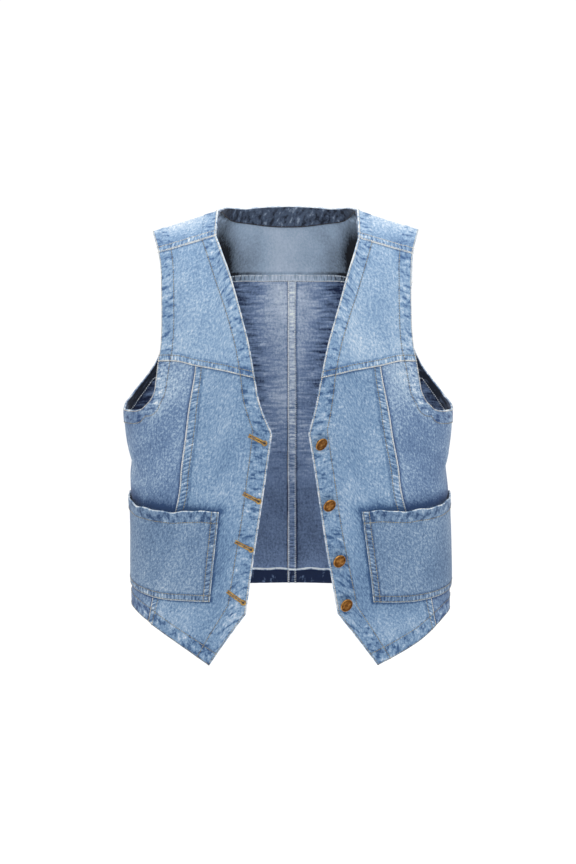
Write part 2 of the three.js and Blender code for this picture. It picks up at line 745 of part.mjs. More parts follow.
function backPanel(lines) {
  const top = backSeamPlaces(lines);
  const turnColumn = top.length - 1;
  const centreTurn = distanceWhereZ(lines.centre, backTurnZ);
  const below = mark(lines.centre, 0, centreTurn, bandHead(hemBand), evenBelowTurn, bandTail(armholeBand));
  const above = mark(lines.centre, centreTurn, lines.centre.length, [0], backEvenAboveTurn, [0]);
  const opening = lines.backOpening;
  const turn = opening.length * backTurn;
  const hemTurn = hemDistance(lines.backHem, backTurnHemX);
  const columnSpacing = [bandHead(centreFellBand), backEvenAcross, bandTail(armholeBand)];
  const grid = armholePanel({
    turnColumn,
    columnSpacing,
    inner: [...below, ...above.slice(1)],
    top,
    hem: [
      ...mark(lines.backHem, 0, hemTurn, ...columnSpacing),
      ...mark(lines.backHem, hemTurn, lines.backHem.length, [0], evenTurnToSide, [0]).slice(1),
    ],
    side: sidePlaces(lines.sideBack),
    upright: mark(opening, turn, 0, [0], backEvenAboveTurn, [0]),
    level: mark(opening, turn, opening.length, [0], evenTurnToSide, [0]),
  });
  const isOpening = (column, row) => column >= turnColumn - 1 && row >= turnRow - 1;
  const isFell = (column) => lines.sign > 0 && column <= 1;
  const isBand = (column, row) => row <= 1 || isFell(column) || isOpening(column, row);
  const holdsCell = (column, row) => column < turnColumn || row < turnRow;
  const isFold = (column, row) => (row <= 1 ? -foldRise : 0);
  const panel = makeWall(`back_${lines.name}`, grid, denim, isFold, raised(isBand), holdsCell);
  const facing = makeWall(
    `armhole_facing_${lines.name}`,
    grid,
    denimInside,
    ...facingLift(seamGap),
    (column, row) => holdsCell(column, row) && isOpening(column, row),
  );
  return [panel, facing];
}

// The distance along the back hem at which it is this far from the centre
function hemDistance(line, x) {
  const index = line.places.findIndex((place) => Math.abs(shellAt(place.x, place.y).x) >= x);
  return line.marks[index];
}

const armholeSteps = 6; // rungs of the back yoke between the ridge and its lower corner
const ridgeRung = 3;
const facingSteps = 3;

// Places across the neck facing, which widens from the sides of the neck to the centre back
function facingPlaces(line, share) {
  const widening = Math.max(0, share - neckFacingStart) / (1 - neckFacingStart);
  const width = neckFacingEnd + (neckFacingWidth - neckFacingEnd) * Math.sin(widening * sideTurn);
  return mark(line, 0, width, [0], facingSteps - 1, [0]);
}

// Rungs of one half of the back yoke, from the front shoulder seam round to the centre back
function yokeRungs(lines) {
  const spacing = (tailWidth) => [bandHead(edgeBand), shoulderEven, bandTail(tailWidth)];
  const ridge = distanceWhereRidge(lines.neckBack);
  const tip = distanceWhereRidge(lines.yokeArmhole);
  const afterRidge = lines.neckBack.length - ridge;
  const armholeRest = lines.yokeArmhole.length - tip;
  const outerRest = armholeRest + lines.yokeBack.length;
  const rungs = [];
  const facing = [];
  const addRung = (inner, outer, tailWidth, share) => {
    const line = drawLine([inner, outer]);
    rungs.push(mark(line, 0, line.length, ...spacing(tailWidth)));
    facing.push(facingPlaces(line, share));
  };
  rungs.push(shoulderPlaces(lines));
  facing.push(facingPlaces(lines.shoulder, 0));
  [fellBand, fellBand + stepWidth].forEach((distance) => {
    addRung(along(lines.neckBack, distance), along(lines.yokeArmhole, distance), armholeBand, 0);
  });
  for (let step = 0; step <= armholeSteps; step += 1) {
    const outer = (armholeRest * step) / armholeSteps;
    const share = outer / outerRest;
    const inner = along(lines.neckBack, ridge + afterRidge * share);
    addRung(inner, along(lines.yokeArmhole, tip + outer), armholeBand, share);
  }
  const seam = backSeamPlaces(lines).reverse().slice(1);
  seam.forEach((outerPlace) => {
    const share = 1 - centreDistance(lines.yokeBack, outerPlace) / outerRest;
    addRung(along(lines.neckBack, ridge + afterRidge * share), outerPlace, fellBand, share);
  });
  return { rungs, facing, cornerRung: ridgeRung + armholeSteps };
}

function distanceWhereRidge(line) {
  const next = line.places.findIndex((place) => place.y <= 0);
  return line.marks[next];
}

// The distance of a place from the start of the back yoke seam
function centreDistance(line, place) {
  const index = line.places.findIndex((other) => Math.abs(other.x) >= Math.abs(place.x) - nudge * nudge);
  return line.marks[index];
}

function backYoke(rightLines, leftLines) {
  const right = yokeRungs(rightLines);
  const left = yokeRungs(leftLines);
  const grid = [...right.rungs, ...left.rungs.slice(0, -1).reverse()];
  const lastRow = grid.length - 1;
  const lastColumn = grid[0].length - 1;
  for (let row = right.cornerRung; row <= lastRow - left.cornerRung; row += 1) {
    trim(grid, lastColumn, row, -1, 0);
  }
  trimRow(grid, 0, 1);
  trimRow(grid, lastRow, -1);
  const isEnd = (row) => row <= 1 || row >= lastRow - 1;
  const isBand = (column, row) => column <= 1 || column >= lastColumn - 1 || isEnd(row);
  const yoke = makeWall('back_yoke', grid, denimYoke, flatLift, raised(isBand));
  const facingGrid = [...right.facing, ...left.facing.slice(0, -1).reverse()];
  trimRow(facingGrid, 0, 1);
  trimRow(facingGrid, lastRow, -1);
  const facing = makeWall('neck_facing', facingGrid, denimInside, ...facingLift(neckFacingGap));
  return [yoke, facing];
}

function pocket(lines) {
  const outline = pocketOutline[lines.name];
  const onFront = (point) => placeAt(lines.sign * point.x, point.z, true);
  const sideTop = placeOnSide(lines.sign, outline.sideTop, true);
  const sideBottom = placeOnSide(lines.sign, outline.sideBottom, true);
  const top = drawLine([...outline.top.map(onFront), sideTop]);
  const bottom = drawLine([...outline.bottom.map(onFront), sideBottom]);
  const inner = drawLine([bottom.places[0], top.places[0]]);
  const side = drawLine([sideBottom, sideTop]);
  const across = (line) => mark(line, 0, line.length, [0], pocketEvenAcross, [0]);
  const upwards = (line) => mark(line, 0, line.length, [0], pocketEvenUp, bandTail(pocketMouthBand));
  const columns = pocketEvenAcross + 2;
  const rows = upwards(inner).length;
  const grid = emptyGrid(columns, rows);
  setRow(grid, 0, 0, across(bottom));
  setRow(grid, rows - 1, 0, across(top));
  setColumn(grid, 0, 0, upwards(inner));
  setColumn(grid, columns - 1, 0, upwards(side));
  fillBlock(grid, 0, columns - 1, 0, rows - 1);
  trimColumn(grid, columns - 1, -1);
  const heights = sharesOf(upwards(inner));
  const gape = (column, row) => {
    const share = column / (columns - 1);
    const lift = pocketLift + (pocketSideLift - pocketLift) * share * share;
    return lift + pocketGape * Math.sin(halfTurn * share) ** 2 * heights[row] ** 2;
  };
  const front = (column, row) => {
    const rise = row >= rows - 2 ? bandRise : 0;
    return gape(column, row) + clothThickness + rise;
  };
  return makeWall(`pocket_${lines.name}`, grid, denim, gape, front);
}

// A shank button: round foot, neck and a rimmed cap, turned about its own axis
function buttonShape() {
  const profile = [new THREE.Vector2(0, -footRadius)];
  for (const angle of [-65, -40, -15, 15]) {
    const turn = angle * degree;
    profile.push(new THREE.Vector2(footRadius * Math.cos(turn), footRadius * Math.sin(turn)));
  }
  const rim = capHeight + capThickness;
  const outline = [
    [neckRadius, footRadius / 2],
    [neckRadius, capHeight - capEdge],
    [neckRadius + capEdge, capHeight],
    [buttonRadius - capEdge, capHeight],
    [buttonRadius, capHeight + capEdge],
    [buttonRadius, rim - capEdge],
    [buttonRadius - capEdge, rim],
    [buttonRadius - rimWidth + faceDepth, rim],
    [buttonRadius - rimWidth, rim - faceDepth],
    [0, rim - faceDepth / 2],
  ];
  outline.forEach(([radius, height]) => profile.push(new THREE.Vector2(radius, height)));
  return new THREE.LatheGeometry(profile, buttonSlices);
}

function tackShape() {
  const profile = [
    [0, 0],
    [tackRadius - tackEdge, 0],
    [tackRadius, tackEdge],
    [tackRadius - tackEdge, tackThickness - tackEdge],
    [tackRadius / 2, tackThickness],
    [0, tackThickness],
  ].map(([radius, height]) => new THREE.Vector2(radius, height));
  return new THREE.LatheGeometry(profile, buttonSlices);
}

const latheAxis = new THREE.Vector3(0, 1, 0);

function makeButton(row, index) {
  const place = placeAt(row.x, row.z, true);
  const normal = normalAt(place.x, place.y);
  const surface = shellAt(place.x, place.y);
  const toward = row.toward * degree;
  const leanWay = new THREE.Vector3(Math.cos(toward), 0, Math.sin(toward));
  leanWay.addScaledVector(normal, -leanWay.dot(normal)).normalize();
  const axis = normal.clone().multiplyScalar(Math.cos(row.lean * degree));
  axis.addScaledVector(leanWay, Math.sin(row.lean * degree));
  const button = finishMesh(`button_${index + 1}`, buttonShape(), brass);
  const seat = clothThickness + bandRise + footGap + footRadius;
  button.position.copy(surface).addScaledVector(normal, seat);
  button.quaternion.setFromUnitVectors(latheAxis, axis);
  const tack = finishMesh(`button_tack_${index + 1}`, tackShape(), brass);
  tack.position.copy(surface).addScaledVector(normal, -tackGap);
  tack.quaternion.setFromUnitVectors(latheAxis, normal.clone().negate());
  return [button, tack];
}

const vest = new THREE.Group();
const [rightLines, leftLines] = sides.map(drawSide);
vest.add(...backYoke(rightLines, leftLines));
for (const lines of [rightLines, leftLines]) {
  vest.add(frontYoke(lines), frontCentre(lines), frontSide(lines), ...backPanel(lines), pocket(lines));
}
buttons.forEach((row, index) => vest.add(...makeButton(row, index)));

export default vest;
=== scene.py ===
import math

import bpy
import numpy as np
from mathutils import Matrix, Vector


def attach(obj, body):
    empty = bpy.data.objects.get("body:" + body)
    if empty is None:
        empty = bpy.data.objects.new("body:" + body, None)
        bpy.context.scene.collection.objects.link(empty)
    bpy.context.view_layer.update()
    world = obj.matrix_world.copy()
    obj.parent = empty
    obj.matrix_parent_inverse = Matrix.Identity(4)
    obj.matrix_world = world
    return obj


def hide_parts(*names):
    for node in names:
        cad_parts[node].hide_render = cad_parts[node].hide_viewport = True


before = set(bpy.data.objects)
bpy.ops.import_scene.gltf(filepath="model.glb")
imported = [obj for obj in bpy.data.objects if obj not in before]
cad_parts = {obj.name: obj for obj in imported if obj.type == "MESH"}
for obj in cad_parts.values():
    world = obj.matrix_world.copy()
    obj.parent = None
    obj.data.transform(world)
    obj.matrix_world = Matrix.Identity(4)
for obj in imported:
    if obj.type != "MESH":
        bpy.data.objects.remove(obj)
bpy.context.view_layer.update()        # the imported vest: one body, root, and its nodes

mm = 0.001
degree = math.pi / 180
sides = {"right": -1, "left": 1}        # the wearer's right is towards -X
print("vest: frame loaded")


# The body of the vest, in millimetres: one smooth shell that every cloth piece lies on
shell = {
    "roundness": 2.4,            # power of the rounded-box section
    "underarmDrop": 252,
    "frontDomeDrop": 230,
    "backDomeDrop": 140,
    "overScale": 100,
    "foldRadius": 150,
    "shoulderLine": {
        "x": (0, 30, 58, 75, 89, 100, 110, 173, 200),
        "fall": (-40.5, -39.5, -35, -21.5, -1.4, 3.2, 6.5, 27, 35.8),
    },
    "girth": {
        "drop": (0, 140, 200, 252, 317, 365, 464, 517, 580),
        "right": (200, 200, 204, 210.5, 206, 203, 203, 203, 203),
        "left": (200, 200, 204, 211.5, 207.5, 207, 211, 210, 211),
        "front": (104, 104, 104, 104, 102, 102, 104, 103, 103),
        "back": (100, 100, 99, 98, 93, 92, 96, 97, 97),
    },
    "folds": {
        "around": (-38, 36, -82, 84, -128, 134, 150, -154, -140, 142),
        "z": (-390, -405, -322, -330, -338, -326, -386, -300, -190, -196),
        "length": (95, 85, 48, 44, 62, 55, 70, 66, 58, 62),
        "width": (26, 24, 15, 16, 17, 15, 18, 17, 18, 19),
        "lean": (82, 97, -14, 12, 9, -11, -5, 6, 52, -50),
        "depth": (2.6, 2.4, 3.2, 3.0, 3.0, 3.2, 2.2, 2.4, 2.2, 2.4),
    },
}

cloth = {
    "thickness": 1.6,
    "bandRise": 0.8,             # a hem, facing or felled seam stands this much higher
    "seamGap": 0.3,
    "facingThickness": 1.2,
    "foldRise": 0.8,             # the hem's turned-up fold on the inside
    "edgeBand": 20,
    "hemBand": 20,
    "armholeBand": 19,
    "fellBand": 9.5,
    "centreFellBand": 10.5,
    "neckFacing": 32,            # at the centre back
    "neckFacingEnd": 4,          # at the sides of the neck
    "neckFacingStart": 0.2,      # share of the way to the centre back at which it starts to widen
    "neckFacingGap": 0.8,
    "pitch": 2.7,                # spacing of the mesh
    "hemSpared": 0.7,            # how much of a folded edge has not been rubbed white
    "pocketSpared": 0.55,
    "facingSpared": 2,
}

# Outlines seen from the front: x from the centre, z down from the shoulders
cut = {
    "neckAtSeam": {"right": (90, -27.5), "left": (88, -29.5)},
    "shoulderSeamEnd": {"right": (163.5, -50.6), "left": (157, -51.4)},
    "neckSideX": {"right": 89, "left": 87.5},
    "shoulderTipX": {"right": 173, "left": 167},
    "neckline": {
        "right": ((34.8, -232.7), (41.6, -196.4), (47.8, -161.5), (55.5, -130), (63.6, -100.5), (72.6, -71),
                  (81, -49)),
        "left": ((34.8, -232.7), (41.6, -196.4), (48.8, -161.5), (57.5, -130), (66, -100.5), (74.4, -71),
                 (81.6, -49)),
    },
    "frontEdge": {
        "right": ((19.6, -270.6), (27, -323.7), (34.2, -372.5), (41.6, -421.4), (48.9, -470.5), (53, -502)),
        "left": ((25.3, -270.6), (33.9, -323.7), (41.1, -372.5), (48.5, -421.4), (57.2, -470.5),
                 (62.8, -502)),
    },
    "hemPoint": {"right": (100.5, -571.5), "left": (114.2, -571.5)},
    "frontHem": {
        "right": ((130, -552.5), (155, -537.5), (179, -522)),
        "left": ((148, -556), (173, -542.5), (190, -529)),
    },
    "sideHem": {"right": (197, -512.5), "left": (204, -519.5)},
    "sideHemZ": {"right": -509.5, "left": -516.5},
    "backHem": ((0, -508), (60, -508.5), (120, -509.5), (176, -511)),
    "yokeSeamInner": ((64, -196), (89, -191)),
    "yokeSeamOuter": ((140, -182.5),),
    "yokeSeamZ": {"neckEdge": -201, "armhole": -184},
    "princess": {
        "right": ((115.8, -187), (118, -204.5), (128, -265), (135.5, -314), (144.6, -371.5)),
        "left": ((115.8, -187), (118.5, -204.5), (130, -265), (139.5, -314), (150.6, -371.5)),
    },
    "frontArmhole": {
        "right": ((160, -72), (158.5, -120), (159.5, -162), (163, -184), (166, -207), (169, -224),
                  (178.5, -239), (193, -248)),
        "left": ((155, -72), (154.5, -120), (157, -162), (161.5, -184), (165.5, -207), (169, -224),
                 (178.5, -239), (193, -248)),
    },
    "backYokeArmhole": {"right": ((168, -52), (164.5, -74)), "left": ((163.5, -52), (162.5, -74))},
    "yokeCorner": (162.5, -97),
    "backYokeSeam": ((0, -97), (60, -97), (120, -97)),
    "backArmhole": ((161.5, -116), (161, -140), (165, -175), (174, -200), (183, -214), (193, -227),
                    (205, -242)),
    "neckPlan": ((85, 22), (75, 45), (58, 58), (30, 60)),        # x and y, seen from above
    "frontTurn": 0.4,
    "backTurn": 0.56,
    "frontTurnZ": -240,
    "backTurnZ": -214,
    "backTurnHemX": 172,
    "frontTurnHemShare": 0.3,
}


def readTable(table, by, key, at):
    xs, ys = np.array(table[by], float), np.array(table[key], float)
    last = len(xs) - 1
    before = np.maximum(np.arange(last + 1) - 1, 0)
    after = np.minimum(np.arange(last + 1) + 1, last)
    slopes = (ys[after] - ys[before]) / (xs[after] - xs[before])
    high = np.clip(np.searchsorted(xs, at, side="right"), 1, last)
    low = high - 1
    span = xs[high] - xs[low]
    t = np.clip((at - xs[low]) / span, 0, 1)
    rise = t * t * (3 - 2 * t)
    leave = t * (1 - t) ** 2 * span * slopes[low]
    arrive = t * t * (t - 1) * span * slopes[high]
    return ys[low] + (ys[high] - ys[low]) * rise + leave + arrive


def shoulderFall(x):
    return readTable(shell["shoulderLine"], "x", "fall", np.abs(x))


def slopeShare(drop):
    return np.clip(1 - drop / shell["underarmDrop"], 0, 1) ** 2


def domeShare(drop, fullDrop):
    return np.sqrt(1 - (1 - np.minimum(1, drop / fullDrop)) ** 2)


def aroundOf(turn, over):
    # angle round the body from centre front, to a half turn at centre back
    return np.where(over >= 0, turn, np.where(turn < 0, -math.pi, math.pi) - turn)


def ridgeSum(table, around, z, radius, key="depth"):
    # sum of soft troughs or ridges, each a row across the table's columns
    total = np.zeros(np.shape(z))
    columns = [table[k] for k in ("around", "z", "length", "width", "lean", key)]
    for at, level, length, width, lean, size in zip(*columns):
        aside = (around - at * degree) * radius
        up = z - level
        cosine, sine = math.cos(lean * degree), math.sin(lean * degree)
        ahead, across = aside * cosine + up * sine, up * cosine - aside * sine
        total += size * np.exp(-((ahead / length) ** 2) - (across / width) ** 2)
    return total


def shellAt(places):
    turn, over = places[..., 0], places[..., 1]
    drop = shell["overScale"] * over * over
    front = over >= 0
    power = np.abs(np.sin(turn)) ** shell["roundness"] + np.abs(np.cos(turn)) ** shell["roundness"]
    reach = power ** (-1 / shell["roundness"])
    girth = {key: readTable(shell["girth"], "drop", key, drop) for key in ("right", "left", "front", "back")}
    x = np.where(turn < 0, girth["right"], girth["left"]) * np.sin(turn) * reach
    depth = np.where(front, -girth["front"] * domeShare(drop, shell["frontDomeDrop"]),
                     girth["back"] * domeShare(drop, shell["backDomeDrop"]))
    z = -drop - shoulderFall(x) * slopeShare(drop)
    keep = 1 - ridgeSum(shell["folds"], aroundOf(turn, over), z, shell["foldRadius"]) / shell["foldRadius"]
    return np.stack([x * keep, depth * np.cos(turn) * reach * keep, z], axis=-1)


def unit(vectors):
    return vectors / np.maximum(np.linalg.norm(vectors, axis=-1, keepdims=True), 1e-12)


def normalAt(places):
    nudge = 1e-3
    aside = shellAt(places + (nudge, 0)) - shellAt(places - (nudge, 0))
    down = shellAt(places + (0, nudge)) - shellAt(places - (0, nudge))
    return unit(np.cross(down, aside))


def placeAt(x, z, front=True):
    drop = -z
    for _ in range(12):
        drop = -z - float(shoulderFall(x)) * float(slopeShare(drop))
    side = "right" if x < 0 else "left"
    width = float(readTable(shell["girth"], "drop", side, drop))
    return roundFrom(x, width, math.sqrt(drop / shell["overScale"]) * (1 if front else -1))


def roundFrom(x, width, over):
    share = min(1, abs(x) / width)
    rest = (1 - share ** shell["roundness"]) ** (1 / shell["roundness"])
    return np.array([math.copysign(math.atan2(share, rest), x), over])


def placeFromAbove(x, y):
    ridge = roundFrom(x, shell["girth"]["left"][0], 0)
    share = abs(x) / shell["girth"]["left"][0]
    rest = (1 - share ** shell["roundness"]) ** (1 / shell["roundness"])
    depthShare = y / (shell["girth"]["back"][0] * rest)
    drop = shell["backDomeDrop"] * (1 - math.sqrt(1 - depthShare ** 2))
    return np.array([ridge[0], -math.sqrt(drop / shell["overScale"])])


def placeOnSide(sign, z, front=True):
    return np.array([sign * math.pi / 2, math.sqrt(-z / shell["overScale"]) * (1 if front else -1)])


def drawLine(*runs):
    # a smooth line on the shell through each run of places, measured in millimetres
    places = []
    for run in runs:
        points = np.array([run[0], *run, run[-1]])
        for index in range(len(run) - 1):
            a, b, c, d = points[index:index + 4]
            t = np.arange(0 if not places else 1, 25)[:, None] / 24
            leave, arrive = (c - a) / 2, (d - b) / 2
            places.extend((2 * b - 2 * c + leave + arrive) * t ** 3
                          + (3 * c - 3 * b - 2 * leave - arrive) * t ** 2 + leave * t + b)
    places = np.array(places)
    steps = np.linalg.norm(np.diff(shellAt(places), axis=0), axis=1)
    marks = np.concatenate([[0], np.cumsum(steps)])
    return {"places": places, "marks": marks, "length": marks[-1]}


def along(line, distance):
    return np.stack([np.interp(distance, line["marks"], line["places"][:, k]) for k in (0, 1)], axis=-1)


def distanceWhere(line, values, level):
    rising = values[-1] > values[0]
    index = int(np.argmax(values >= level if rising else values <= level))
    share = (level - values[index - 1]) / (values[index] - values[index - 1])
    return line["marks"][index - 1] + share * (line["marks"][index] - line["marks"][index - 1])


def distanceWhereZ(line, z):
    return distanceWhere(line, shellAt(line["places"])[:, 2], z)


def spaced(length, head, evenCount, tail):
    reach = length - tail[0] - head[-1]
    even = head[-1] + reach * np.arange(1, evenCount + 1) / (evenCount + 1)
    return np.concatenate([head, even, length - np.array(tail)])


def mark(line, start, end, head, evenCount, tail):
    return along(line, start + np.sign(end - start) * spaced(abs(end - start), head, evenCount, tail))


def bandHead(width):
    # close rows round the folded edge, even ones over the band and two for its step
    fine = [0, 0.5, 1.1, 2.0, 3.2]
    count = math.ceil((width - 3.7) / cloth["pitch"])
    even = [3.2 + (width - 3.7) * index / count for index in range(1, count + 1)]
    return fine + even + [width + 0.3, width + 1.1]


def bandTail(width):
    return bandHead(width)[::-1]


def evenCount(length):
    return max(1, round(length / cloth["pitch"]) - 1)


def sharesOf(places):
    steps = np.linalg.norm(np.diff(shellAt(places), axis=0), axis=1)
    return np.concatenate([[0], np.cumsum(steps)]) / steps.sum()


def fillBlock(grid, left, right, bottom, top):
    block = grid[bottom:top + 1, left:right + 1]
    low, high, near, far = (sharesOf(edge) for edge in (block[0], block[-1], block[:, 0], block[:, -1]))
    middle = ((near + far) / 2)[:, None]
    u = low[None] * (1 - middle) + high[None] * middle
    v = near[:, None] * (1 - u) + far[:, None] * u
    u, v = u[..., None], v[..., None]
    filled = (block[:, :1] * (1 - u) + block[:, -1:] * u + block[:1] * (1 - v) + block[-1:] * v
              - block[0, 0] * (1 - u) * (1 - v) - block[0, -1] * u * (1 - v)
              - block[-1, 0] * (1 - u) * v - block[-1, -1] * u * v)
    block[1:-1, 1:-1] = filled[1:-1, 1:-1]


def trim(edge, beside):
    # draws a piece's edge back from a seam by half the gap
    gap = np.linalg.norm(shellAt(edge) - shellAt(beside), axis=-1, keepdims=True)
    edge += (beside - edge) * (cloth["seamGap"] / 2 / gap)


def backPlace(sign, x, z):
    place = placeAt(sign * max(x, 1e-3), z, False)
    return np.array([0 if x == 0 else place[0], place[1]])


def drawSide(name):
    sign = sides[name]

    def onFront(point):
        return placeAt(sign * point[0], point[1])

    def onBack(point):
        return placeAt(sign * point[0], point[1], False)

    lines = {"name": name, "sign": sign}
    neckAtSeam, seamEnd = (onFront(cut[key][name]) for key in ("neckAtSeam", "shoulderSeamEnd"))
    edge = [onFront(point) for point in cut["frontEdge"][name]]
    lines["neck"] = drawLine([edge[0], *map(onFront, cut["neckline"][name]), neckAtSeam])
    lines["front"] = drawLine(edge[::-1])
    point = onFront(cut["hemPoint"][name])
    lines["slant"] = drawLine([point, edge[-1]])
    underarm = placeOnSide(sign, -shell["underarmDrop"])
    lines["armhole"] = drawLine([seamEnd, *map(onFront, cut["frontArmhole"][name]), underarm])
    lines["shoulder"] = drawLine([neckAtSeam, seamEnd])
    princess = [onFront(point) for point in cut["princess"][name]]
    lines["neckAtYoke"] = distanceWhereZ(lines["neck"], cut["yokeSeamZ"]["neckEdge"])
    lines["armholeAtYoke"] = distanceWhereZ(lines["armhole"], cut["yokeSeamZ"]["armhole"])
    neckEnd, armholeEnd = (along(lines[key], lines[key + "AtYoke"]) for key in ("neck", "armhole"))
    inner = [neckEnd, *map(onFront, cut["yokeSeamInner"]), princess[0]]
    outer = [princess[0], *map(onFront, cut["yokeSeamOuter"]), armholeEnd]
    lines["yokeInner"], lines["yokeOuter"] = drawLine(inner), drawLine(outer)
    lines["yokeSeam"] = drawLine(inner, outer)
    hem = [onFront(point) for point in cut["frontHem"][name]]
    lines["hemInner"] = drawLine([point, *hem])
    sideEnd = placeOnSide(sign, cut["sideHemZ"][name])
    lines["hemOuter"] = drawLine([hem[-1], onFront(cut["sideHem"][name]), sideEnd])
    lines["princess"] = drawLine([hem[-1], *princess[::-1]])
    lines["side"] = drawLine([sideEnd, underarm])
    lines["sideBack"] = drawLine([placeOnSide(sign, cut["sideHemZ"][name], False),
                                  placeOnSide(sign, -shell["underarmDrop"], False)])
    plan = [placeFromAbove(sign * x, y) for x, y in cut["neckPlan"]]
    middle = placeFromAbove(sign * 1e-3, cut["neckPlan"][-1][1])
    ridge = [roundFrom(sign * cut[key][name], shell["girth"]["left"][0], 0)
             for key in ("neckSideX", "shoulderTipX")]
    lines["neckBack"] = drawLine([neckAtSeam, ridge[0], *plan, np.array([0, middle[1]])])
    corner = onBack(cut["yokeCorner"])
    lines["yokeArmhole"] = drawLine([seamEnd, ridge[1], *map(onBack, cut["backYokeArmhole"][name]), corner])
    lines["yokeBack"] = drawLine([*(backPlace(sign, *row) for row in cut["backYokeSeam"]), corner])
    lines["backHem"] = drawLine([*(backPlace(sign, *row) for row in cut["backHem"]),
                                 placeOnSide(sign, cut["sideHemZ"][name], False)])
    lines["backOpening"] = drawLine([corner, *map(onBack, cut["backArmhole"]),
                                     placeOnSide(sign, -shell["underarmDrop"], False)])
    lines["centre"] = drawLine([backPlace(sign, *cut["backHem"][0]),
                                backPlace(sign, *cut["backYokeSeam"][0])])
    return lines


vestLines = {name: drawSide(name) for name in sides}
print("vest: outlines drawn on the shell")


# Creases, given one by one: ridges are positive, troughs negative
creases = {
    "around": (-22, -27, -45, -58, -66, -74, 24, 31, 48, 60, 69, 77,
               -30, -52, 28, 50, -88, 90, -98, 101, -112, 118, -130, 133, -150, 152, -168, 170, 178,
               -160, 158, -120, 125),
    "z": (-330, -455, -255, -300, -345, -285, -345, -470, -262, -310, -352, -292,
          -520, -510, -530, -515, -400, -410, -300, -306, -268, -274, -405, -398, -350, -346, -250,
          -262, -440, -180, -190, -470, -465),
    "length": (30, 26, 28, 34, 26, 22, 28, 30, 24, 32, 28, 22,
               24, 30, 26, 28, 40, 44, 30, 28, 32, 30, 46, 42, 48, 50, 38, 40, 46, 36, 34, 30, 32),
    "width": (4.5, 5, 5, 6, 4.5, 5, 5, 4.5, 5, 6, 5, 4.5,
              5, 6, 5, 6, 7, 7, 5, 5, 6, 6, 8, 7, 8, 9, 7, 7, 9, 7, 7, 6, 6),
    "lean": (70, 62, 58, 28, 14, 40, 112, 120, 124, 150, 168, 142,
             60, 74, 118, 104, 82, 98, 16, -14, 34, -32, 8, -6, 14, -12, 6, -4, 88, 40, -42, 70, -72),
    "depth": (0.5, -0.5, -0.6, -0.9, 0.8, -0.7, 0.5, -0.5, -0.6, -0.9, 0.8, -0.7,
              -0.5, 0.5, 0.5, -0.5, -0.9, 0.9, -1.0, -1.1, 0.9, 0.9, -1.1, -1.0, -1.2, -1.2, -0.8, 0.8, 0.7,
              -0.8, -0.9, 0.7, -0.7),
}


noiseTables = {}


def softNoise(u, v, seed):
    # smooth noise from 0 to 1 with one lattice step to each unit
    if seed not in noiseTables:
        noiseTables[seed] = np.random.default_rng(seed).random((64, 64))
    table = noiseTables[seed]
    cellU, cellV = np.floor(u).astype(int), np.floor(v).astype(int)
    s, t = u - cellU, v - cellV
    s, t = s * s * (3 - 2 * s), t * t * (3 - 2 * t)
    a, b = table[cellU % 64, cellV % 64], table[(cellU + 1) % 64, cellV % 64]
    c, d = table[cellU % 64, (cellV + 1) % 64], table[(cellU + 1) % 64, (cellV + 1) % 64]
    return (a * (1 - s) + b * s) * (1 - t) + (c * (1 - s) + d * s) * t


# The cloth's own coordinates: millimetres round the body from the centre line and down from the ridge
chartTurns = np.linspace(0, math.pi / 2, 91)
chartOvers = np.linspace(-2.42, 2.42, 243)


def drawChart(sign):
    places = np.stack(np.meshgrid(chartTurns * sign, chartOvers), axis=-1)
    points = shellAt(places)
    aside = np.linalg.norm(np.diff(points, axis=1), axis=-1)
    down = np.linalg.norm(np.diff(points, axis=0), axis=-1)
    zero = len(chartOvers) // 2
    u = np.concatenate([np.zeros((len(chartOvers), 1)), np.cumsum(aside, axis=1)], axis=1) * sign
    v = np.concatenate([np.zeros((1, len(chartTurns))), np.cumsum(down, axis=0)], axis=0)
    return np.stack([u, -(v - v[zero])], axis=-1)


charts = {sign: drawChart(sign) for sign in (-1, 1)}


def clothMapOf(places):
    column = np.clip(np.abs(places[..., 0]) / (math.pi / 2) * (len(chartTurns) - 1), 0,
                     len(chartTurns) - 1.001)
    step = chartOvers[1] - chartOvers[0]
    row = np.clip((places[..., 1] - chartOvers[0]) / step, 0, len(chartOvers) - 1.001)
    c, r = column.astype(int), row.astype(int)
    s, t = (column - c)[..., None], (row - r)[..., None]
    found = []
    for sign in (-1, 1):
        chart = charts[sign]
        found.append((chart[r, c] * (1 - s) + chart[r, c + 1] * s) * (1 - t)
                     + (chart[r + 1, c] * (1 - s) + chart[r + 1, c + 1] * s) * t)
    return np.where((places[..., :1] < 0), found[0], found[1])


def smoothStep(low, high, value):
    t = np.clip((value - low) / (high - low), 0, 1)
    return t * t * (3 - 2 * t)


def creaseLift(places, points):
    # creases and the slight unevenness of washed cloth, the same for every layer at a place
    around = aroundOf(places[..., 0], places[..., 1])
    lift = ridgeSum(creases, around, points[..., 2], shell["foldRadius"])
    uv = clothMapOf(places)
    lift += 0.9 * (softNoise(uv[..., 0] / 38 + 9, uv[..., 1] / 52 + 40, 3) - 0.5)
    lift += 0.4 * (softNoise(uv[..., 0] / 15 + 3, uv[..., 1] / 19 + 70, 4) - 0.5)
    return lift


# How washed bands pucker between their rows of stitches, in millimetres
puckers = {
    "rope": (5.0, 15, 0.7),        # one wave's size along the band and across it, and its height
    "fine": (2.7, 9, 0.12),
    "flatShare": 0.4,              # what is left of them on a band that lies flat
    "beside": (6, 0.55),           # how far they reach past the stitches, and with what share
    "groove": (1.2, 1.1, 0.35),    # from the band's edge to its row of stitches, and the row's groove
    "rimRadius": 1.2,
    "shadow": {"under": 1.5, "fell": (0.9, 0.8, 0.7)},
}


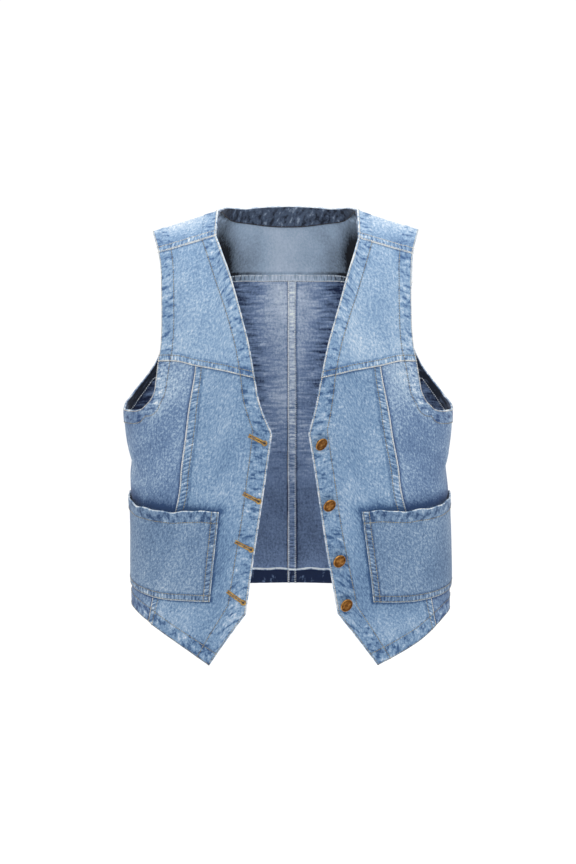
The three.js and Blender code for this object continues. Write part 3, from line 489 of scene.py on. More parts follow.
def edge(away, width, runs, kind="hem", raised=True, inside=0.0, spared=0.0):
    # an edge of a piece: the distance from it, its band's width and way, and what is sewn there:
    # hem (a turned edge), fell (a flat-felled seam, this piece on top) or under (the piece below it);
    # spared is how much of the fold, in millimetres, has not been rubbed white
    return {"away": away, "width": width, "runs": runs, "kind": kind, "raised": raised, "inside": inside,
            "spared": spared}


def dressPanel(places, edges, holds=None, low=0.0, thickness=cloth["thickness"], ride=0.0, seed=1):
    # works out both skins of a piece, with the bands, puckers and creases on them
    base, normals = shellAt(places), normalAt(places)
    uv = clothMapOf(places)
    shape = places.shape[:2]
    side, cross = np.full(shape, 3.0), np.full(shape, 3.0)        # shares of a band's width, past any band
    fold, rim = np.full(shape, 40.0), np.full(shape, 40.0)
    rise, sink, pucker, shadow, up, level = (np.zeros(shape) for _ in range(6))
    ladder = {"up": up, "across": level}
    for number, one in enumerate(edges):
        away, width = np.broadcast_to(one["away"], shape), one["width"]
        rim = np.minimum(rim, away)
        if one["kind"] == "under":
            shadow = np.maximum(shadow, np.exp(-(away / puckers["shadow"]["under"]) ** 2))
            continue
        fold = np.minimum(fold, away + one["spared"])
        band = 1 - smoothStep(-0.5, 0.3, away - width)
        if one["kind"] == "fell":
            ladder[one["runs"]] = np.maximum(ladder[one["runs"]], band * smoothStep(1.2, 2.4, away))
            past, reach, depth = puckers["shadow"]["fell"]
            shadow = np.maximum(shadow, depth * np.exp(-((away - width - past) / reach) ** 2))
        elif one["runs"] == "across":
            wobble = 0.035 * np.sin(uv[..., 0] / 6.1) + 0.03 * np.sin(uv[..., 0] / 11.7 + 1)
            cross = np.minimum(cross, away / width + wobble * (one["inside"] > 0.7))
        else:
            side = np.minimum(side, away / width)
        if one["raised"]:
            rise = np.maximum(rise, band)
        sink = np.maximum(sink, band * one["inside"])
        ahead, across = (uv[..., 1], uv[..., 0]) if one["runs"] == "up" else (uv[..., 0], uv[..., 1])
        (long, wide, high), (fineLong, fineWide, fineHigh) = puckers["rope"], puckers["fine"]
        rope = softNoise((ahead + 0.4 * np.abs(across)) / long, across / wide + 7 * number, seed + number)
        fine = softNoise((ahead - 0.3 * np.abs(across)) / fineLong, across / fineWide + 5 * number,
                         seed + number + 20)
        wave = high * (rope - 0.5) + fineHigh * (fine - 0.5)
        wave *= 1 if one["raised"] else puckers["flatShare"]
        reach, share = puckers["beside"]
        beside = np.exp(-np.maximum(away - width, 0) / reach) * share
        pucker += wave * np.where(away < width, smoothStep(0, 2.2, away), beside)
        # the row of stitches pulls the band down in a shallow groove
        if one["raised"]:
            inset, reach, depth = puckers["groove"]
            pucker -= depth * np.exp(-((away - width + inset) / reach) ** 2)
    creased = creaseLift(places, base)
    lift, relief = creased + ride, creased + pucker
    roundness = np.sqrt(np.clip(1 - (1 - np.clip(rim / puckers["rimRadius"], 0, 1)) ** 2, 0, 1))
    middle = low + thickness / 2
    outer = low + thickness + cloth["bandRise"] * rise + pucker
    inner = low - sink + 0.35 * pucker * (sink > 0)
    outer = middle + (outer - middle) * (0.3 + 0.7 * roundness)
    inner = middle + (inner - middle) * (0.3 + 0.7 * roundness)
    return {
        "places": places,
        "outer": base + normals * (lift + outer)[..., None],
        "inner": base + normals * (lift + inner)[..., None],
        "normals": normals,
        "uv": uv,
        "bands": np.stack([side, cross, fold], axis=-1),
        "seams": np.stack([ladder["up"], ladder["across"], shadow], axis=-1),
        # painted shadow, filled in later beside the pockets
        "shade": np.zeros(shape),
        "relief": relief,
        "holds": np.ones((shape[0] - 1, shape[1] - 1), bool) if holds is None else holds,
    }


def shareOf(size, columns, rows, values):
    # reads values on the grid at fractional columns and rows
    c = np.clip(np.floor(columns).astype(int), 0, size[1] - 2)
    r = np.clip(np.floor(rows).astype(int), 0, size[0] - 2)
    s, t = (columns - c)[..., None], (rows - r)[..., None]
    return ((values[r, c] * (1 - s) + values[r, c + 1] * s) * (1 - t)
            + (values[r + 1, c] * (1 - s) + values[r + 1, c + 1] * s) * t)


def pathOn(panel, columns, rows, skin="outer"):
    # a run of points on a piece's skin, with the way the skin faces there
    columns, rows = np.broadcast_arrays(np.asarray(columns, float), np.asarray(rows, float))
    size = panel["places"].shape
    points = shareOf(size, columns, rows, panel[skin])
    faces = unit(shareOf(size, columns, rows, panel["normals"]))
    return points, faces if skin == "outer" else -faces


def indexAt(distances, distance):
    order = np.argsort(distances)
    return float(np.interp(distance, np.asarray(distances)[order], order))


def linkObject(name, data):
    made = bpy.data.objects.new(name, data)
    bpy.context.scene.collection.objects.link(made)
    return made


def makeCloth(name, panel, materials):
    # joins both skins of a piece into one closed mesh
    rows, columns = panel["places"].shape[:2]
    holds = panel["holds"]
    used = np.zeros((rows, columns), bool)
    for dr, dc in np.ndindex(2, 2):
        used[dr:rows - 1 + dr, dc:columns - 1 + dc] |= holds
    number = np.cumsum(used).reshape(rows, columns) - 1
    count = int(used.sum())
    points = np.concatenate([panel["outer"][used], panel["inner"][used]]) * mm
    r, c = np.nonzero(holds)
    corners = np.stack([number[r, c], number[r, c + 1], number[r + 1, c + 1], number[r + 1, c]], axis=-1)
    faces = [corners, corners[:, ::-1] + count]
    padded = np.pad(holds, 1)
    steps = ((-1, 0, 0, 1), (0, 1, 1, 2), (1, 0, 2, 3), (0, -1, 3, 0))
    for dr, dc, start, end in steps:
        bare = ~padded[r + 1 + dr, c + 1 + dc]
        a, b = corners[bare, start], corners[bare, end]
        faces.append(np.stack([b, a, a + count, b + count], axis=-1))
    slots = np.concatenate([np.full(len(part), int(index == 1)) for index, part in enumerate(faces)])
    faces = np.concatenate(faces)
    p = points[faces]
    volume = np.einsum("ij,ij->", p[:, 0], np.cross(p[:, 1], p[:, 2]) + np.cross(p[:, 2], p[:, 3]))
    if volume < 0:
        faces = faces[:, ::-1]
    mesh = bpy.data.meshes.new(name)
    mesh.from_pydata(points, [], faces)
    mesh.polygons.foreach_set("use_smooth", np.ones(len(faces), bool))
    mesh.polygons.foreach_set("material_index", slots.astype(np.int32))
    place, z = panel["places"][used], panel["outer"][used][:, 2]
    around = aroundOf(place[:, 0], place[:, 1])
    outside, inside = (ridgeSum(washAndPaintedLightAreas[key], around, z, shell["foldRadius"], "tone")
                       for key in ("outside", "inside"))
    # the wash with its painted light and shade, and on the outside the pockets' painted shadow, go to the
    # mesh as one attribute
    values = {"relief": [panel["relief"][used], -panel["relief"][used]],
              "tone": [outside + panel["shade"][used], inside]}
    for key in ("bands", "seams"):
        data = mesh.attributes.new(key, "FLOAT_VECTOR", "POINT").data
        data.foreach_set("vector", np.concatenate([panel[key][used]] * 2).ravel())
    for key, skins in values.items():
        mesh.attributes.new(key, "FLOAT", "POINT").data.foreach_set("value", np.concatenate(skins))
    loops = np.zeros(len(mesh.loops), np.int32)
    mesh.loops.foreach_get("vertex_index", loops)
    uv = np.concatenate([panel["uv"][used]] * 2)[loops] * mm
    mesh.uv_layers.new(name="clothMap").data.foreach_set("uv", uv.ravel())
    for material in materials:
        mesh.materials.append(material)
    mesh.update()
    return linkObject(name, mesh)


# Materials


def srgb(code, alpha=1.0):
    parts = [int(code[index:index + 2], 16) / 255 for index in (1, 3, 5)]
    return (*[part / 12.92 if part <= 0.04045 else ((part + 0.055) / 1.055) ** 2.4 for part in parts], alpha)


def addNode(tree, kind, inputs=None, **settings):
    node = tree.nodes.new(kind)
    for key, value in settings.items():
        setattr(node, key, value)
    for key, value in (inputs or {}).items():
        if isinstance(value, bpy.types.Node):
            value = value.outputs[0]
        if isinstance(value, bpy.types.NodeSocket):
            tree.links.new(value, node.inputs[key])
        else:
            node.inputs[key].default_value = value
    return node


def startMaterial(name, **settings):
    material = bpy.data.materials.new(name)
    material.use_nodes = True
    tree = material.node_tree
    shader = tree.nodes["Principled BSDF"]
    for key, value in settings.items():
        shader.inputs[key].default_value = value
    return material, tree, shader


def weighSum(tree, start, terms):
    # start plus each socket's value times its weight, and times a second socket's value where there is one
    total = start
    for socket, weight, *masks in terms:
        for mask in masks:
            socket = addNode(tree, "ShaderNodeMath", {0: socket, 1: mask}, operation="MULTIPLY")
        total = addNode(tree, "ShaderNodeMath", {0: socket, 1: weight, 2: total}, operation="MULTIPLY_ADD")
    return total


def dressShader(tree, shader, shade, stops, height, bump, rough=None):
    # colour stops over the shade, a fine relief from the height and, where given, a roughness by range
    ramp = addNode(tree, "ShaderNodeValToRGB", {0: shade})
    elements = ramp.color_ramp.elements
    elements.remove(elements[1])
    elements[0].position, elements[0].color = stops[0][0], srgb(stops[0][1])
    for position, colour in stops[1:]:
        elements.new(position).color = srgb(colour)
    tree.links.new(ramp.outputs[0], shader.inputs["Base Color"])
    if rough:
        socket, low, high, start, end = rough
        roughness = addNode(tree, "ShaderNodeMapRange", {0: socket, 1: low, 2: high, 3: start, 4: end})
        tree.links.new(roughness.outputs[0], shader.inputs["Roughness"])
    strength, distance = bump
    relief = addNode(tree, "ShaderNodeBump", {"Strength": strength, "Distance": distance * mm,
                                              "Height": height})
    tree.links.new(relief.outputs[0], shader.inputs["Normal"])


# how strongly each side of the cloth shows its grain, puckers, roping and wash clouds, and the two ways of a
# felled seam; the wrong side is smoother
rightSide = {"grain": 1.0, "tick": 1.45, "smudge": 0.4, "bloom": 0.15, "cloud": 0.36, "fellUp": -0.11,
             "fellAcross": -0.11}
wrongSide = {"grain": 0.5, "tick": 0.8, "smudge": 0.22, "bloom": 0.15, "cloud": 0.3, "fellUp": 0.13,
             "fellAcross": 0.01}
denimLooks = {
    # stonewashed indigo denim: twill woven, dark warp worn pale on every high place
    "frontDenim": {**rightSide, "stops": ("#344f73", "#6b86a3", "#97a9bd", "#cfd1d5"), "base": 0.46},
    "yokeDenim": {**rightSide, "stops": ("#3b577d", "#738eab", "#9db0c3", "#ced2d4"), "base": 0.48},
    "sideDenim": {**rightSide, "stops": ("#2d456b", "#617998", "#94a8bc", "#ccd1d5"), "base": 0.44,
                  "bloom": 0.3},
    "pocketDenim": {**rightSide, "stops": ("#2c4364", "#617995", "#8d9fb2", "#c8cdd0"), "base": 0.45},
    # the wrong side of the cloth, where the undyed weft greys the blue, rubbed smoothest under the yoke
    "insideDenim": {**wrongSide, "stops": ("#14223f", "#7287a8", "#b5c2d4", "#ebf1f0"), "base": 0.48},
    "insideYoke": {**wrongSide, "stops": ("#12161d", "#93a6bb", "#bcc8d7", "#e9eef1"), "base": 0.54,
                   "grain": 0.28},
    # the facings' dark denim, washed inside the vest and little faded
    "facingDenim": {**wrongSide, "stops": ("#171e2c", "#4f5d73", "#8895a6", "#ccd5db"), "base": 0.4,
                    "bloom": 0.3},
}

weave = {
    "stops": (0.02, 0.46, 0.72, 1.0),
    "grain": (2.9, 3.7),         # mm across and up; the real 0.5 would not show, so it is drawn coarser
    "fine": (1.3, 1.9),
    "slub": (1.8, 13),           # thick places in the warp
    "cloud": (34, 50),           # uneven washing
    "whisker": (24, 24, 3.8),    # soft wear lines across the inside
    "rope": (13, 5.8),           # across and along a band that has roped in the wash
    "tick": (15, 3.2),           # across and along a felled seam, unevenness of the puckers
    "pucker": 4.9,               # from one worn pucker of a felled seam to the next
}


def denimMaterial(name):
    look = denimLooks[name]
    material, tree, shader = startMaterial(name, **{"Sheen Weight": 0.1, "Sheen Roughness": 0.5,
                                                    "Specular IOR Level": 0.2})
    uv = addNode(tree, "ShaderNodeUVMap", uv_map="clothMap")
    mirrored = addNode(tree, "ShaderNodeVectorMath", {0: uv}, operation="ABSOLUTE")
    given = {key: addNode(tree, "ShaderNodeAttribute", attribute_name=key).outputs
             for key in ("bands", "seams", "relief", "tone")}
    bands, seams, reach = (addNode(tree, "ShaderNodeSeparateXYZ", {0: vector}).outputs for vector in
                           (given["bands"]["Vector"], given["seams"]["Vector"], mirrored))
    relief, tone = given["relief"]["Fac"], given["tone"]["Fac"]

    def patch(size, detail=2.0, lean=0.0, roughness=0.5, place=uv):
        # noise whose patches are about this many millimetres across and up
        scale = [1 / (length * mm) for length in size] + [1] * (3 - len(size))
        turned = addNode(tree, "ShaderNodeMapping", {"Vector": place, "Rotation": (0, 0, lean * degree)})
        mapped = addNode(tree, "ShaderNodeMapping", {"Vector": turned, "Scale": scale})
        noise = addNode(tree, "ShaderNodeTexNoise", {"Vector": mapped, "Scale": 1.0, "Detail": detail,
                                                     "Roughness": roughness})
        return addNode(tree, "ShaderNodeMath", {0: noise, 1: 0.5}, operation="SUBTRACT")

    def tickAlong(distance, size):
        # worn puckers, evenly spaced but for a drift of up to a third of their spacing
        drift = patch(size, 1.0, 4, 0.5, mirrored)
        turn = weighSum(tree, 0.0, [(distance, math.tau / (weave["pucker"] * mm)), (drift, 9.0)])
        wave = addNode(tree, "ShaderNodeMath", {0: turn}, operation="SINE")
        return weighSum(tree, 0.0, [(wave, 0.11), (drift, 0.9)])

    grain, fine = patch(weave["grain"], 2.0, 8, 0.65), patch(weave["fine"], 1.0)
    slub, cloud = patch(weave["slub"]), patch(weave["cloud"], 3.0, 12)
    over = uv if name == "facingDenim" else mirrored
    ropes = {"Side": patch(weave["rope"], 2.0, 18, 0.55, over),
             "Cross": patch(weave["rope"][::-1], 2.0, -18, 0.55, over)}
    tickUp, tickAcross = tickAlong(reach[1], weave["tick"]), tickAlong(reach[0], weave["tick"][::-1])
    # each runs from its third number to its fourth as the value goes from the first to the second
    ranges = {"onSide": (bands[0], 0.97, 1.03, 1, 0), "onCross": (bands[1], 0.97, 1.03, 1, 0),
              "besideSide": (bands[0], 1.0, 1.45, 1, 0), "besideCross": (bands[1], 1.0, 1.6, 1, 0),
              "foldLine": (bands[2], 0.6, 1.5, 1, 0)}
    for way, rope in ropes.items():
        ranges["smudge" + way], ranges["bloom" + way] = (rope, -0.2, 0.0, -1, 0), (rope, 0.03, 0.24, 0, 1)
    if name == "insideDenim":
        down = addNode(tree, "ShaderNodeSeparateXYZ", {0: uv}).outputs[1]
        # the whiskers show most where the wash and the painted shade are darkest
        ranges.update(rubbed=(tone, -0.15, 0.15, 1, 0.3), high=(down, 0.38, 0.46, 1, 0.1),
                      hemInside=(bands[1], 0.88, 0.96, 0, 1), hemTop=(bands[1], 1.0, 1.08, 1, 0))
    part = {key: addNode(tree, "ShaderNodeMapRange", dict(enumerate(row)), interpolation_type="SMOOTHSTEP")
            for key, row in ranges.items()}
    anyBand = addNode(tree, "ShaderNodeMath", {0: part["onSide"], 1: part["onCross"]}, operation="MAXIMUM")
    # the attribute of wash, painted highlights and painted shade goes straight into the colour
    terms = [(grain, look["grain"]), (fine, 0.45 * look["grain"]), (slub, 0.34 * look["grain"]),
             (cloud, look["cloud"]), (relief, 0.13), (tone, 1.0),
             (tickUp, look["tick"], seams[0]), (seams[0], look["fellUp"]),
             (tickAcross, look["tick"], seams[1]), (seams[1], look["fellAcross"]),
             (seams[2], -0.4), (anyBand, -0.05), (part["foldLine"], 0.42)]
    for way, rope in ropes.items():
        terms += [(part["smudge" + way], look["smudge"], part["on" + way]),
                  (part["bloom" + way], look["bloom"], part["on" + way]), (rope, 0.4, part["beside" + way])]
    if name == "insideDenim":
        # whiskers where the cloth has rubbed, and the right side of the cloth on the turned-up hem
        whisker = patch(weave["whisker"], 2.0, place=addNode(tree, "ShaderNodeTexCoord").outputs["Object"])
        terms += [(whisker, 1.2, part["rubbed"], part["high"]), (part["onCross"], -0.42),
                  (ropes["Cross"], 0.65, part["onCross"]), (part["hemInside"], 1.0, part["hemTop"])]
    height = weighSum(tree, 0.0, [(grain, 0.9), (fine, 0.9), (slub, 0.6)])
    dressShader(tree, shader, weighSum(tree, look["base"], terms), list(zip(weave["stops"], look["stops"])),
                height, (0.5, 0.5), (slub, -0.3, 0.3, 0.96, 0.84))
    return material


def threadMaterial(name, light, dark):
    # spun polyester topstitching thread: matt, with a slight shine along the ply
    material, tree, shader = startMaterial(name, Roughness=0.6,
                                           **{"Sheen Weight": 0.25, "Specular IOR Level": 0.4})
    place = addNode(tree, "ShaderNodeTexCoord").outputs["Object"]
    mottle = addNode(tree, "ShaderNodeTexNoise", {"Vector": place, "Scale": 260.0, "Detail": 2.0})
    ply = addNode(tree, "ShaderNodeTexNoise", {"Vector": place, "Scale": 2400.0})
    dressShader(tree, shader, mottle, [(0.36, dark), (0.64, light)], ply, (0.4, 0.15))
    return material


def brassMaterial():
    # antiqued brass: die-struck, chemically darkened and rubbed back on the high rim
    material, tree, shader = startMaterial("antiqueBrass", Metallic=1.0)
    high = addNode(tree, "ShaderNodeAttribute", attribute_name="wear").outputs["Fac"]
    place = addNode(tree, "ShaderNodeTexCoord").outputs["Object"]
    blotch = addNode(tree, "ShaderNodeTexNoise", {"Vector": place, "Scale": 300.0, "Detail": 3.0})
    grain = addNode(tree, "ShaderNodeTexNoise", {"Vector": place, "Scale": 1900.0, "Detail": 2.0})
    worn = weighSum(tree, -0.45, [(high, 0.75), (blotch, 1.0)])
    dressShader(tree, shader, worn, [(0.08, "#26190d"), (0.52, "#6f4720"), (0.98, "#bd8d50")], grain,
                (0.25, 0.1), (worn, 0.0, 1.0, 0.6, 0.3))
    return material


threadLooks = {        # the light and dark of each dyed thread
    "tanThread": ("#8e8773", "#50504c"), "creamThread": ("#cfc8ba", "#938f86"),
    "paleThread": ("#dfe4e8", "#97a1ae"), "brownThread": ("#3d332c", "#191718"),
    "copperThread": ("#b08c43", "#7a5823"),
}
denims = {name: denimMaterial(name) for name in denimLooks}
threads = {name: threadMaterial(name, *colours) for name, colours in threadLooks.items()}
brass = brassMaterial()
print("vest: materials made")


# Soft pale (positive) and dark (negative) areas, outside and inside: partly the uneven wash, partly painted
# light and painted shade
washAndPaintedLightAreas = {
    # outside: wash clouds, with a painted highlight on the shoulder tops where the top light falls, and
    # darker sides that are partly painted shade
    "outside": {
        "around": (-20, 20, -66, 66, -90, 90, -38, 38, -142, 142, -150, 150, -30, 32, -34, 36, -50, 50,
                   -58, 56, 24, -74, 74, 62),
        "z": (-150, -150, -300, -310, -400, -400, -10, -10, -10, -10, -300, -300, -530, -540, -345, -350,
              -200, -200, -512, -520, -115, -300, -300, -462),
        "length": (60, 60, 60, 60, 90, 90, 60, 60, 60, 60, 110, 110, 50, 50, 60, 60, 44, 44, 34, 34, 60, 70,
                   70, 48),
        "width": (50, 50, 36, 36, 26, 26, 28, 28, 28, 28, 60, 60, 60, 60, 30, 30, 38, 38, 60, 60, 40, 18, 18,
                  48),
        "lean": (90, 90, 90, 90, 90, 90, 0, 0, 0, 0) + (90,) * 14,
        "tone": (0.03, 0.03, -0.05, -0.05, -0.1, -0.1, 0.32, 0.32, 0.26, 0.26, 0.06, 0.06, 0.16, 0.16,
                 0.05, 0.05, 0.27, 0.27, 0.15, 0.2, 0.08, 0.09, 0.09, -0.13),
    },
    # inside: mostly painted shade, dark at the sides of the neck, under the yoke's sides and down the sides
    # seen through the armholes, paler at the top of the back where light falls in
    "inside": {
        "around": (180, -180, 180, -180, 158, -158, 165, -165, 180, -180, 118, -118, 155, -155, 158, -158,
                   118, -118),
        "z": (-130, -130, -215, -215, -150, -150, -235, -235, -450, -450, -300, -300, -62, -62, -75, -75,
              -215, -215),
        "length": (50, 50, 70, 70, 50, 50, 60, 60, 120, 120, 120, 120, 56, 56, 60, 60, 45, 45),
        "width": (34, 34, 24, 24, 18, 18, 15, 15, 70, 70, 60, 60, 12, 12, 26, 26, 45, 45),
        "lean": (90,) * 18,
        "tone": (0.18, 0.18, 0.08, 0.08, -0.3, -0.3, -0.32, -0.32, -0.18, -0.18, -0.3, -0.3, -0.4, -0.4,
                 -0.26, -0.26, -0.2, -0.2),
    },
}

pieces, panels = {}, {}
seamTail = [1.1, 0.5, 0]        # close rows at a plain seam, in millimetres from it
seamHead = seamTail[::-1]
far = 90.0                      # a distance, in millimetres, beyond every band


def capital(text):
    return text[:1].upper() + text[1:]


def addPiece(about, side, panel):
    name = about["name"] + capital(side)
    piece = makeCloth(name, panel, [denims[look] for look in about["looks"]])
    pieces[name] = {**about, "piece": piece, "node": "_".join(filter(None, (about["node"], side)))}
    panels[name] = panel


def markAll(line, *spacing):
    return mark(line, 0, line["length"], *spacing)


def frameGrid(bottom, top, inner, outer):
    grid = np.zeros((len(inner), len(bottom), 2))
    grid[0], grid[-1] = bottom, top
    grid[:, 0], grid[:, -1] = inner, outer
    fillBlock(grid, 0, len(bottom) - 1, 0, len(inner) - 1)
    return grid


def measureGrid(columns, rows):
    # each column's and row's distance from both ends, as the panel keeps them and as the edges use them
    marks = {"columnMm": columns, "rowMm": rows, "columnEnd": columns[-1] - columns,
             "rowEnd": rows[-1] - rows}
    return marks, (columns[None], marks["columnEnd"][None], rows[:, None], marks["rowEnd"][:, None])


# Upper fronts, from the shoulder seams down to the slanted yoke seams. Sizes are in metres, as the cut
# cloth shows without its turnings; "banded" is how much of the width and height, in mm, the bands take up
frontYokes = {"name": "frontYoke", "node": "front_yoke", "looks": ("yokeDenim", "insideDenim"),
              "slot": "denim",
              "flat": (0.15, 0.22), "area": 0.022, "on": "backYoke", "banded": (39, 9), "seed": 11}


def frontYoke(name):
    lines, banded = vestLines[name], frontYokes["banded"]
    climbLength = lines["neck"]["length"] - lines["neckAtYoke"]
    across = (bandHead(cloth["edgeBand"]), evenCount(lines["yokeSeam"]["length"] - banded[0]),
              bandTail(cloth["armholeBand"]))
    climb = (bandHead(cloth["fellBand"]), evenCount(climbLength - banded[1]), seamTail)
    grid = frameGrid(markAll(lines["yokeSeam"], *across), markAll(lines["shoulder"], *across),
                     mark(lines["neck"], lines["neckAtYoke"], lines["neck"]["length"], *climb),
                     mark(lines["armhole"], lines["armholeAtYoke"], 0, *climb))
    trim(grid[0], grid[1])
    trim(grid[-1], grid[-2])
    marks, away = measureGrid(spaced(lines["yokeSeam"]["length"], *across), spaced(climbLength, *climb))
    edges = [edge(away[0], cloth["edgeBand"], "up"), edge(away[1], cloth["armholeBand"], "up"),
             edge(away[2], cloth["fellBand"], "across", "fell"), edge(away[3], 0, "across", "under")]
    addPiece(frontYokes, name, {**dressPanel(grid, edges, seed=frontYokes["seed"]), **marks})


# Lower fronts, centre panels: from the front edge to the princess seam, with the pointed hem
frontCentres = {"name": "frontCentre", "node": "front_centre", "looks": ("frontDenim", "insideDenim"),
                "slot": "denim", "flat": (0.16, 0.42), "area": 0.042, "on": "frontYoke", "banded": (30, 20),
                "seed": 31}


def frontCentre(name):
    lines, banded = vestLines[name], frontCentres["banded"]
    head = bandHead(cloth["hemBand"])
    slant = markAll(lines["slant"], head, evenCount(lines["slant"]["length"] - banded[1]), [0])
    front = markAll(lines["front"], [0], evenCount(lines["front"]["length"]), [0])
    neck = mark(lines["neck"], 0, lines["neckAtYoke"], [0], evenCount(lines["neckAtYoke"]), seamTail)
    inner = np.concatenate([slant, front[1:], neck[1:]])
    climb = (head, len(inner) - len(head) - len(seamTail), seamTail)
    across = (bandHead(cloth["edgeBand"]), evenCount(lines["hemInner"]["length"] - banded[0]),
              bandTail(cloth["fellBand"]))
    grid = frameGrid(markAll(lines["hemInner"], *across), markAll(lines["yokeInner"], *across), inner,
                     markAll(lines["princess"], *climb))
    trim(grid[-1], grid[-2])
    trim(grid[:, -1], grid[:, -2])
    marks, away = measureGrid(spaced(lines["hemInner"]["length"], *across),
                              spaced(lines["princess"]["length"], *climb))
    onSlant = np.arange(len(inner))[:, None] < len(slant)
    edges = [edge(away[0], cloth["edgeBand"], "up", spared=cloth["hemSpared"] * onSlant),
             edge(away[1], cloth["fellBand"], "up", "fell"),
             edge(away[2], cloth["hemBand"], "across", inside=cloth["foldRise"], spared=cloth["hemSpared"]),
             edge(away[3], 0, "across", "under")]
    panel = dressPanel(grid, edges, seed=frontCentres["seed"])
    paintPocketShadow(panel, name)
    addPiece(frontCentres, name, {**panel, **marks, "slantRow": len(slant) - 1})


def armholePanel(inner, innerTurn, hem, hemTurn, hemNear, top, side, opening, turn, start, across, climb,
                 seam):
    # a panel that lies beside and below an armhole, its cells beyond the turn left out, with its edges
    above, toSide = evenCount(inner["length"] - innerTurn), evenCount(opening["length"] - turn)
    below = mark(inner, 0, innerTurn, *climb)
    innerEdge = np.concatenate([below, mark(inner, innerTurn, inner["length"], [0], above, seamTail)[1:]])
    hemEdge = np.concatenate([hemNear, mark(hem, hemTurn, hem["length"], [0], toSide, seamTail)[1:]])
    topEdge = markAll(top, *across)
    turnColumn, turnRow = len(topEdge) - 1, len(below) - 1
    grid = np.zeros((len(innerEdge), len(hemEdge), 2))
    grid[:, 0], grid[0] = innerEdge, hemEdge
    grid[-1, :turnColumn + 1] = topEdge
    grid[:turnRow + 1, -1] = markAll(side, *climb)
    grid[turnRow:, turnColumn] = mark(opening, turn, start, [0], above, seamTail)
    grid[turnRow, turnColumn:] = mark(opening, turn, opening["length"], [0], toSide, seamTail)
    corner = grid[turnRow, turnColumn].copy()
    grid[turnRow, :turnColumn + 1] = markAll(drawLine([innerEdge[turnRow], corner]), *across)
    grid[:turnRow + 1, turnColumn] = markAll(drawLine([hemEdge[turnColumn], corner]), *climb)
    lastRow, lastColumn = grid.shape[0] - 1, grid.shape[1] - 1
    fillBlock(grid, 0, turnColumn, 0, turnRow)
    fillBlock(grid, turnColumn, lastColumn, 0, turnRow)
    fillBlock(grid, 0, turnColumn, turnRow, lastRow)
    trim(grid[:, 0], grid[:, 1])
    trim(grid[-1, :turnColumn + 1], grid[-2, :turnColumn + 1])
    trim(grid[:turnRow + 1, -1], grid[:turnRow + 1, -2])
    holds = np.ones((lastRow, lastColumn), bool)
    holds[turnRow:, turnColumn:] = False
    columns, rows = spaced(top["length"], *across), spaced(innerTurn, *climb)
    restColumns, restRows = np.ones(lastColumn - turnColumn), np.ones(lastRow - turnRow)
    aside = np.concatenate([columns[-1] - columns, 0 * restColumns])
    under = np.concatenate([rows[-1] - rows, 0 * restRows])
    opened = np.hypot(aside[None], under[:, None])
    fromSide = np.arange(lastColumn, -1, -1) * cloth["pitch"]
    fromTop = np.arange(lastRow, -1, -1) * cloth["pitch"]
    edges = [edge(np.concatenate([rows, far * restRows])[:, None], cloth["hemBand"], "across",
                  inside=cloth["foldRise"], spared=cloth["hemSpared"]),
             edge(opened, cloth["armholeBand"], "both"),
             edge(np.concatenate([columns, far * restColumns])[None], runs="up", **seam),
             edge(fromSide[None], 0, "up", "under"), edge(fromTop[:, None], 0, "across", "under")]
    marks = {"columnMm": columns, "rowMm": rows, "aside": aside, "under": under, "turnColumn": turnColumn,
             "turnRow": turnRow}
    return grid, holds, edges, opened, marks


# Lower fronts, side panels: from the princess seam round to the side seam
frontSides = {"name": "frontSide", "node": "front_side", "looks": ("sideDenim", "insideDenim"),
              "slot": "denim",
              "flat": (0.15, 0.37), "area": 0.040, "on": "frontCentre", "banded": (22, 40), "seed": 51,
              "hemHead": [0, 0.3, 0.6]}


def frontSide(name):
    lines, banded = vestLines[name], frontSides["banded"]
    opening, hem, top = lines["armhole"], lines["hemOuter"], lines["yokeOuter"]
    turn = opening["length"] * cut["frontTurn"] + lines["armholeAtYoke"] * (1 - cut["frontTurn"])
    seamTurn = distanceWhereZ(lines["princess"], cut["frontTurnZ"])
    hemTurn = hem["length"] * cut["frontTurnHemShare"]
    tail = bandTail(cloth["armholeBand"])
    across = (seamHead, evenCount(top["length"] - banded[0]), tail)
    climb = (bandHead(cloth["hemBand"]), evenCount(seamTurn - banded[1]), tail)
    hemTail = [value * cut["frontTurnHemShare"] for value in tail]
    hemNear = mark(hem, 0, hemTurn, frontSides["hemHead"], across[1], hemTail)
    grid, holds, edges, _, marks = armholePanel(
        lines["princess"], seamTurn, hem, hemTurn, hemNear, top, lines["side"], opening, turn,
        lines["armholeAtYoke"], across, climb, {"width": 0, "kind": "under"})
    panel = dressPanel(grid, edges, holds, seed=frontSides["seed"])
    paintPocketShadow(panel, name)
    addPiece(frontSides, name, {**panel, **marks})


# Back panels, felled together down the centre back, and the facings inside their armholes
backs = {"name": "back", "node": "back", "looks": ("frontDenim", "insideDenim"), "slot": "denim",
         "flat": (0.28, 0.46), "area": 0.105, "on": "backYoke", "banded": (30, 40), "seed": 71}
armholeFacings = {"name": "armholeFacing", "node": "armhole_facing", "looks": ("facingDenim", "facingDenim"),
                  "slot": "denim_facing", "flat": (0.07, 0.21), "area": 0.0046, "on": "back", "seed": 91,
                  "inset": 0.2}


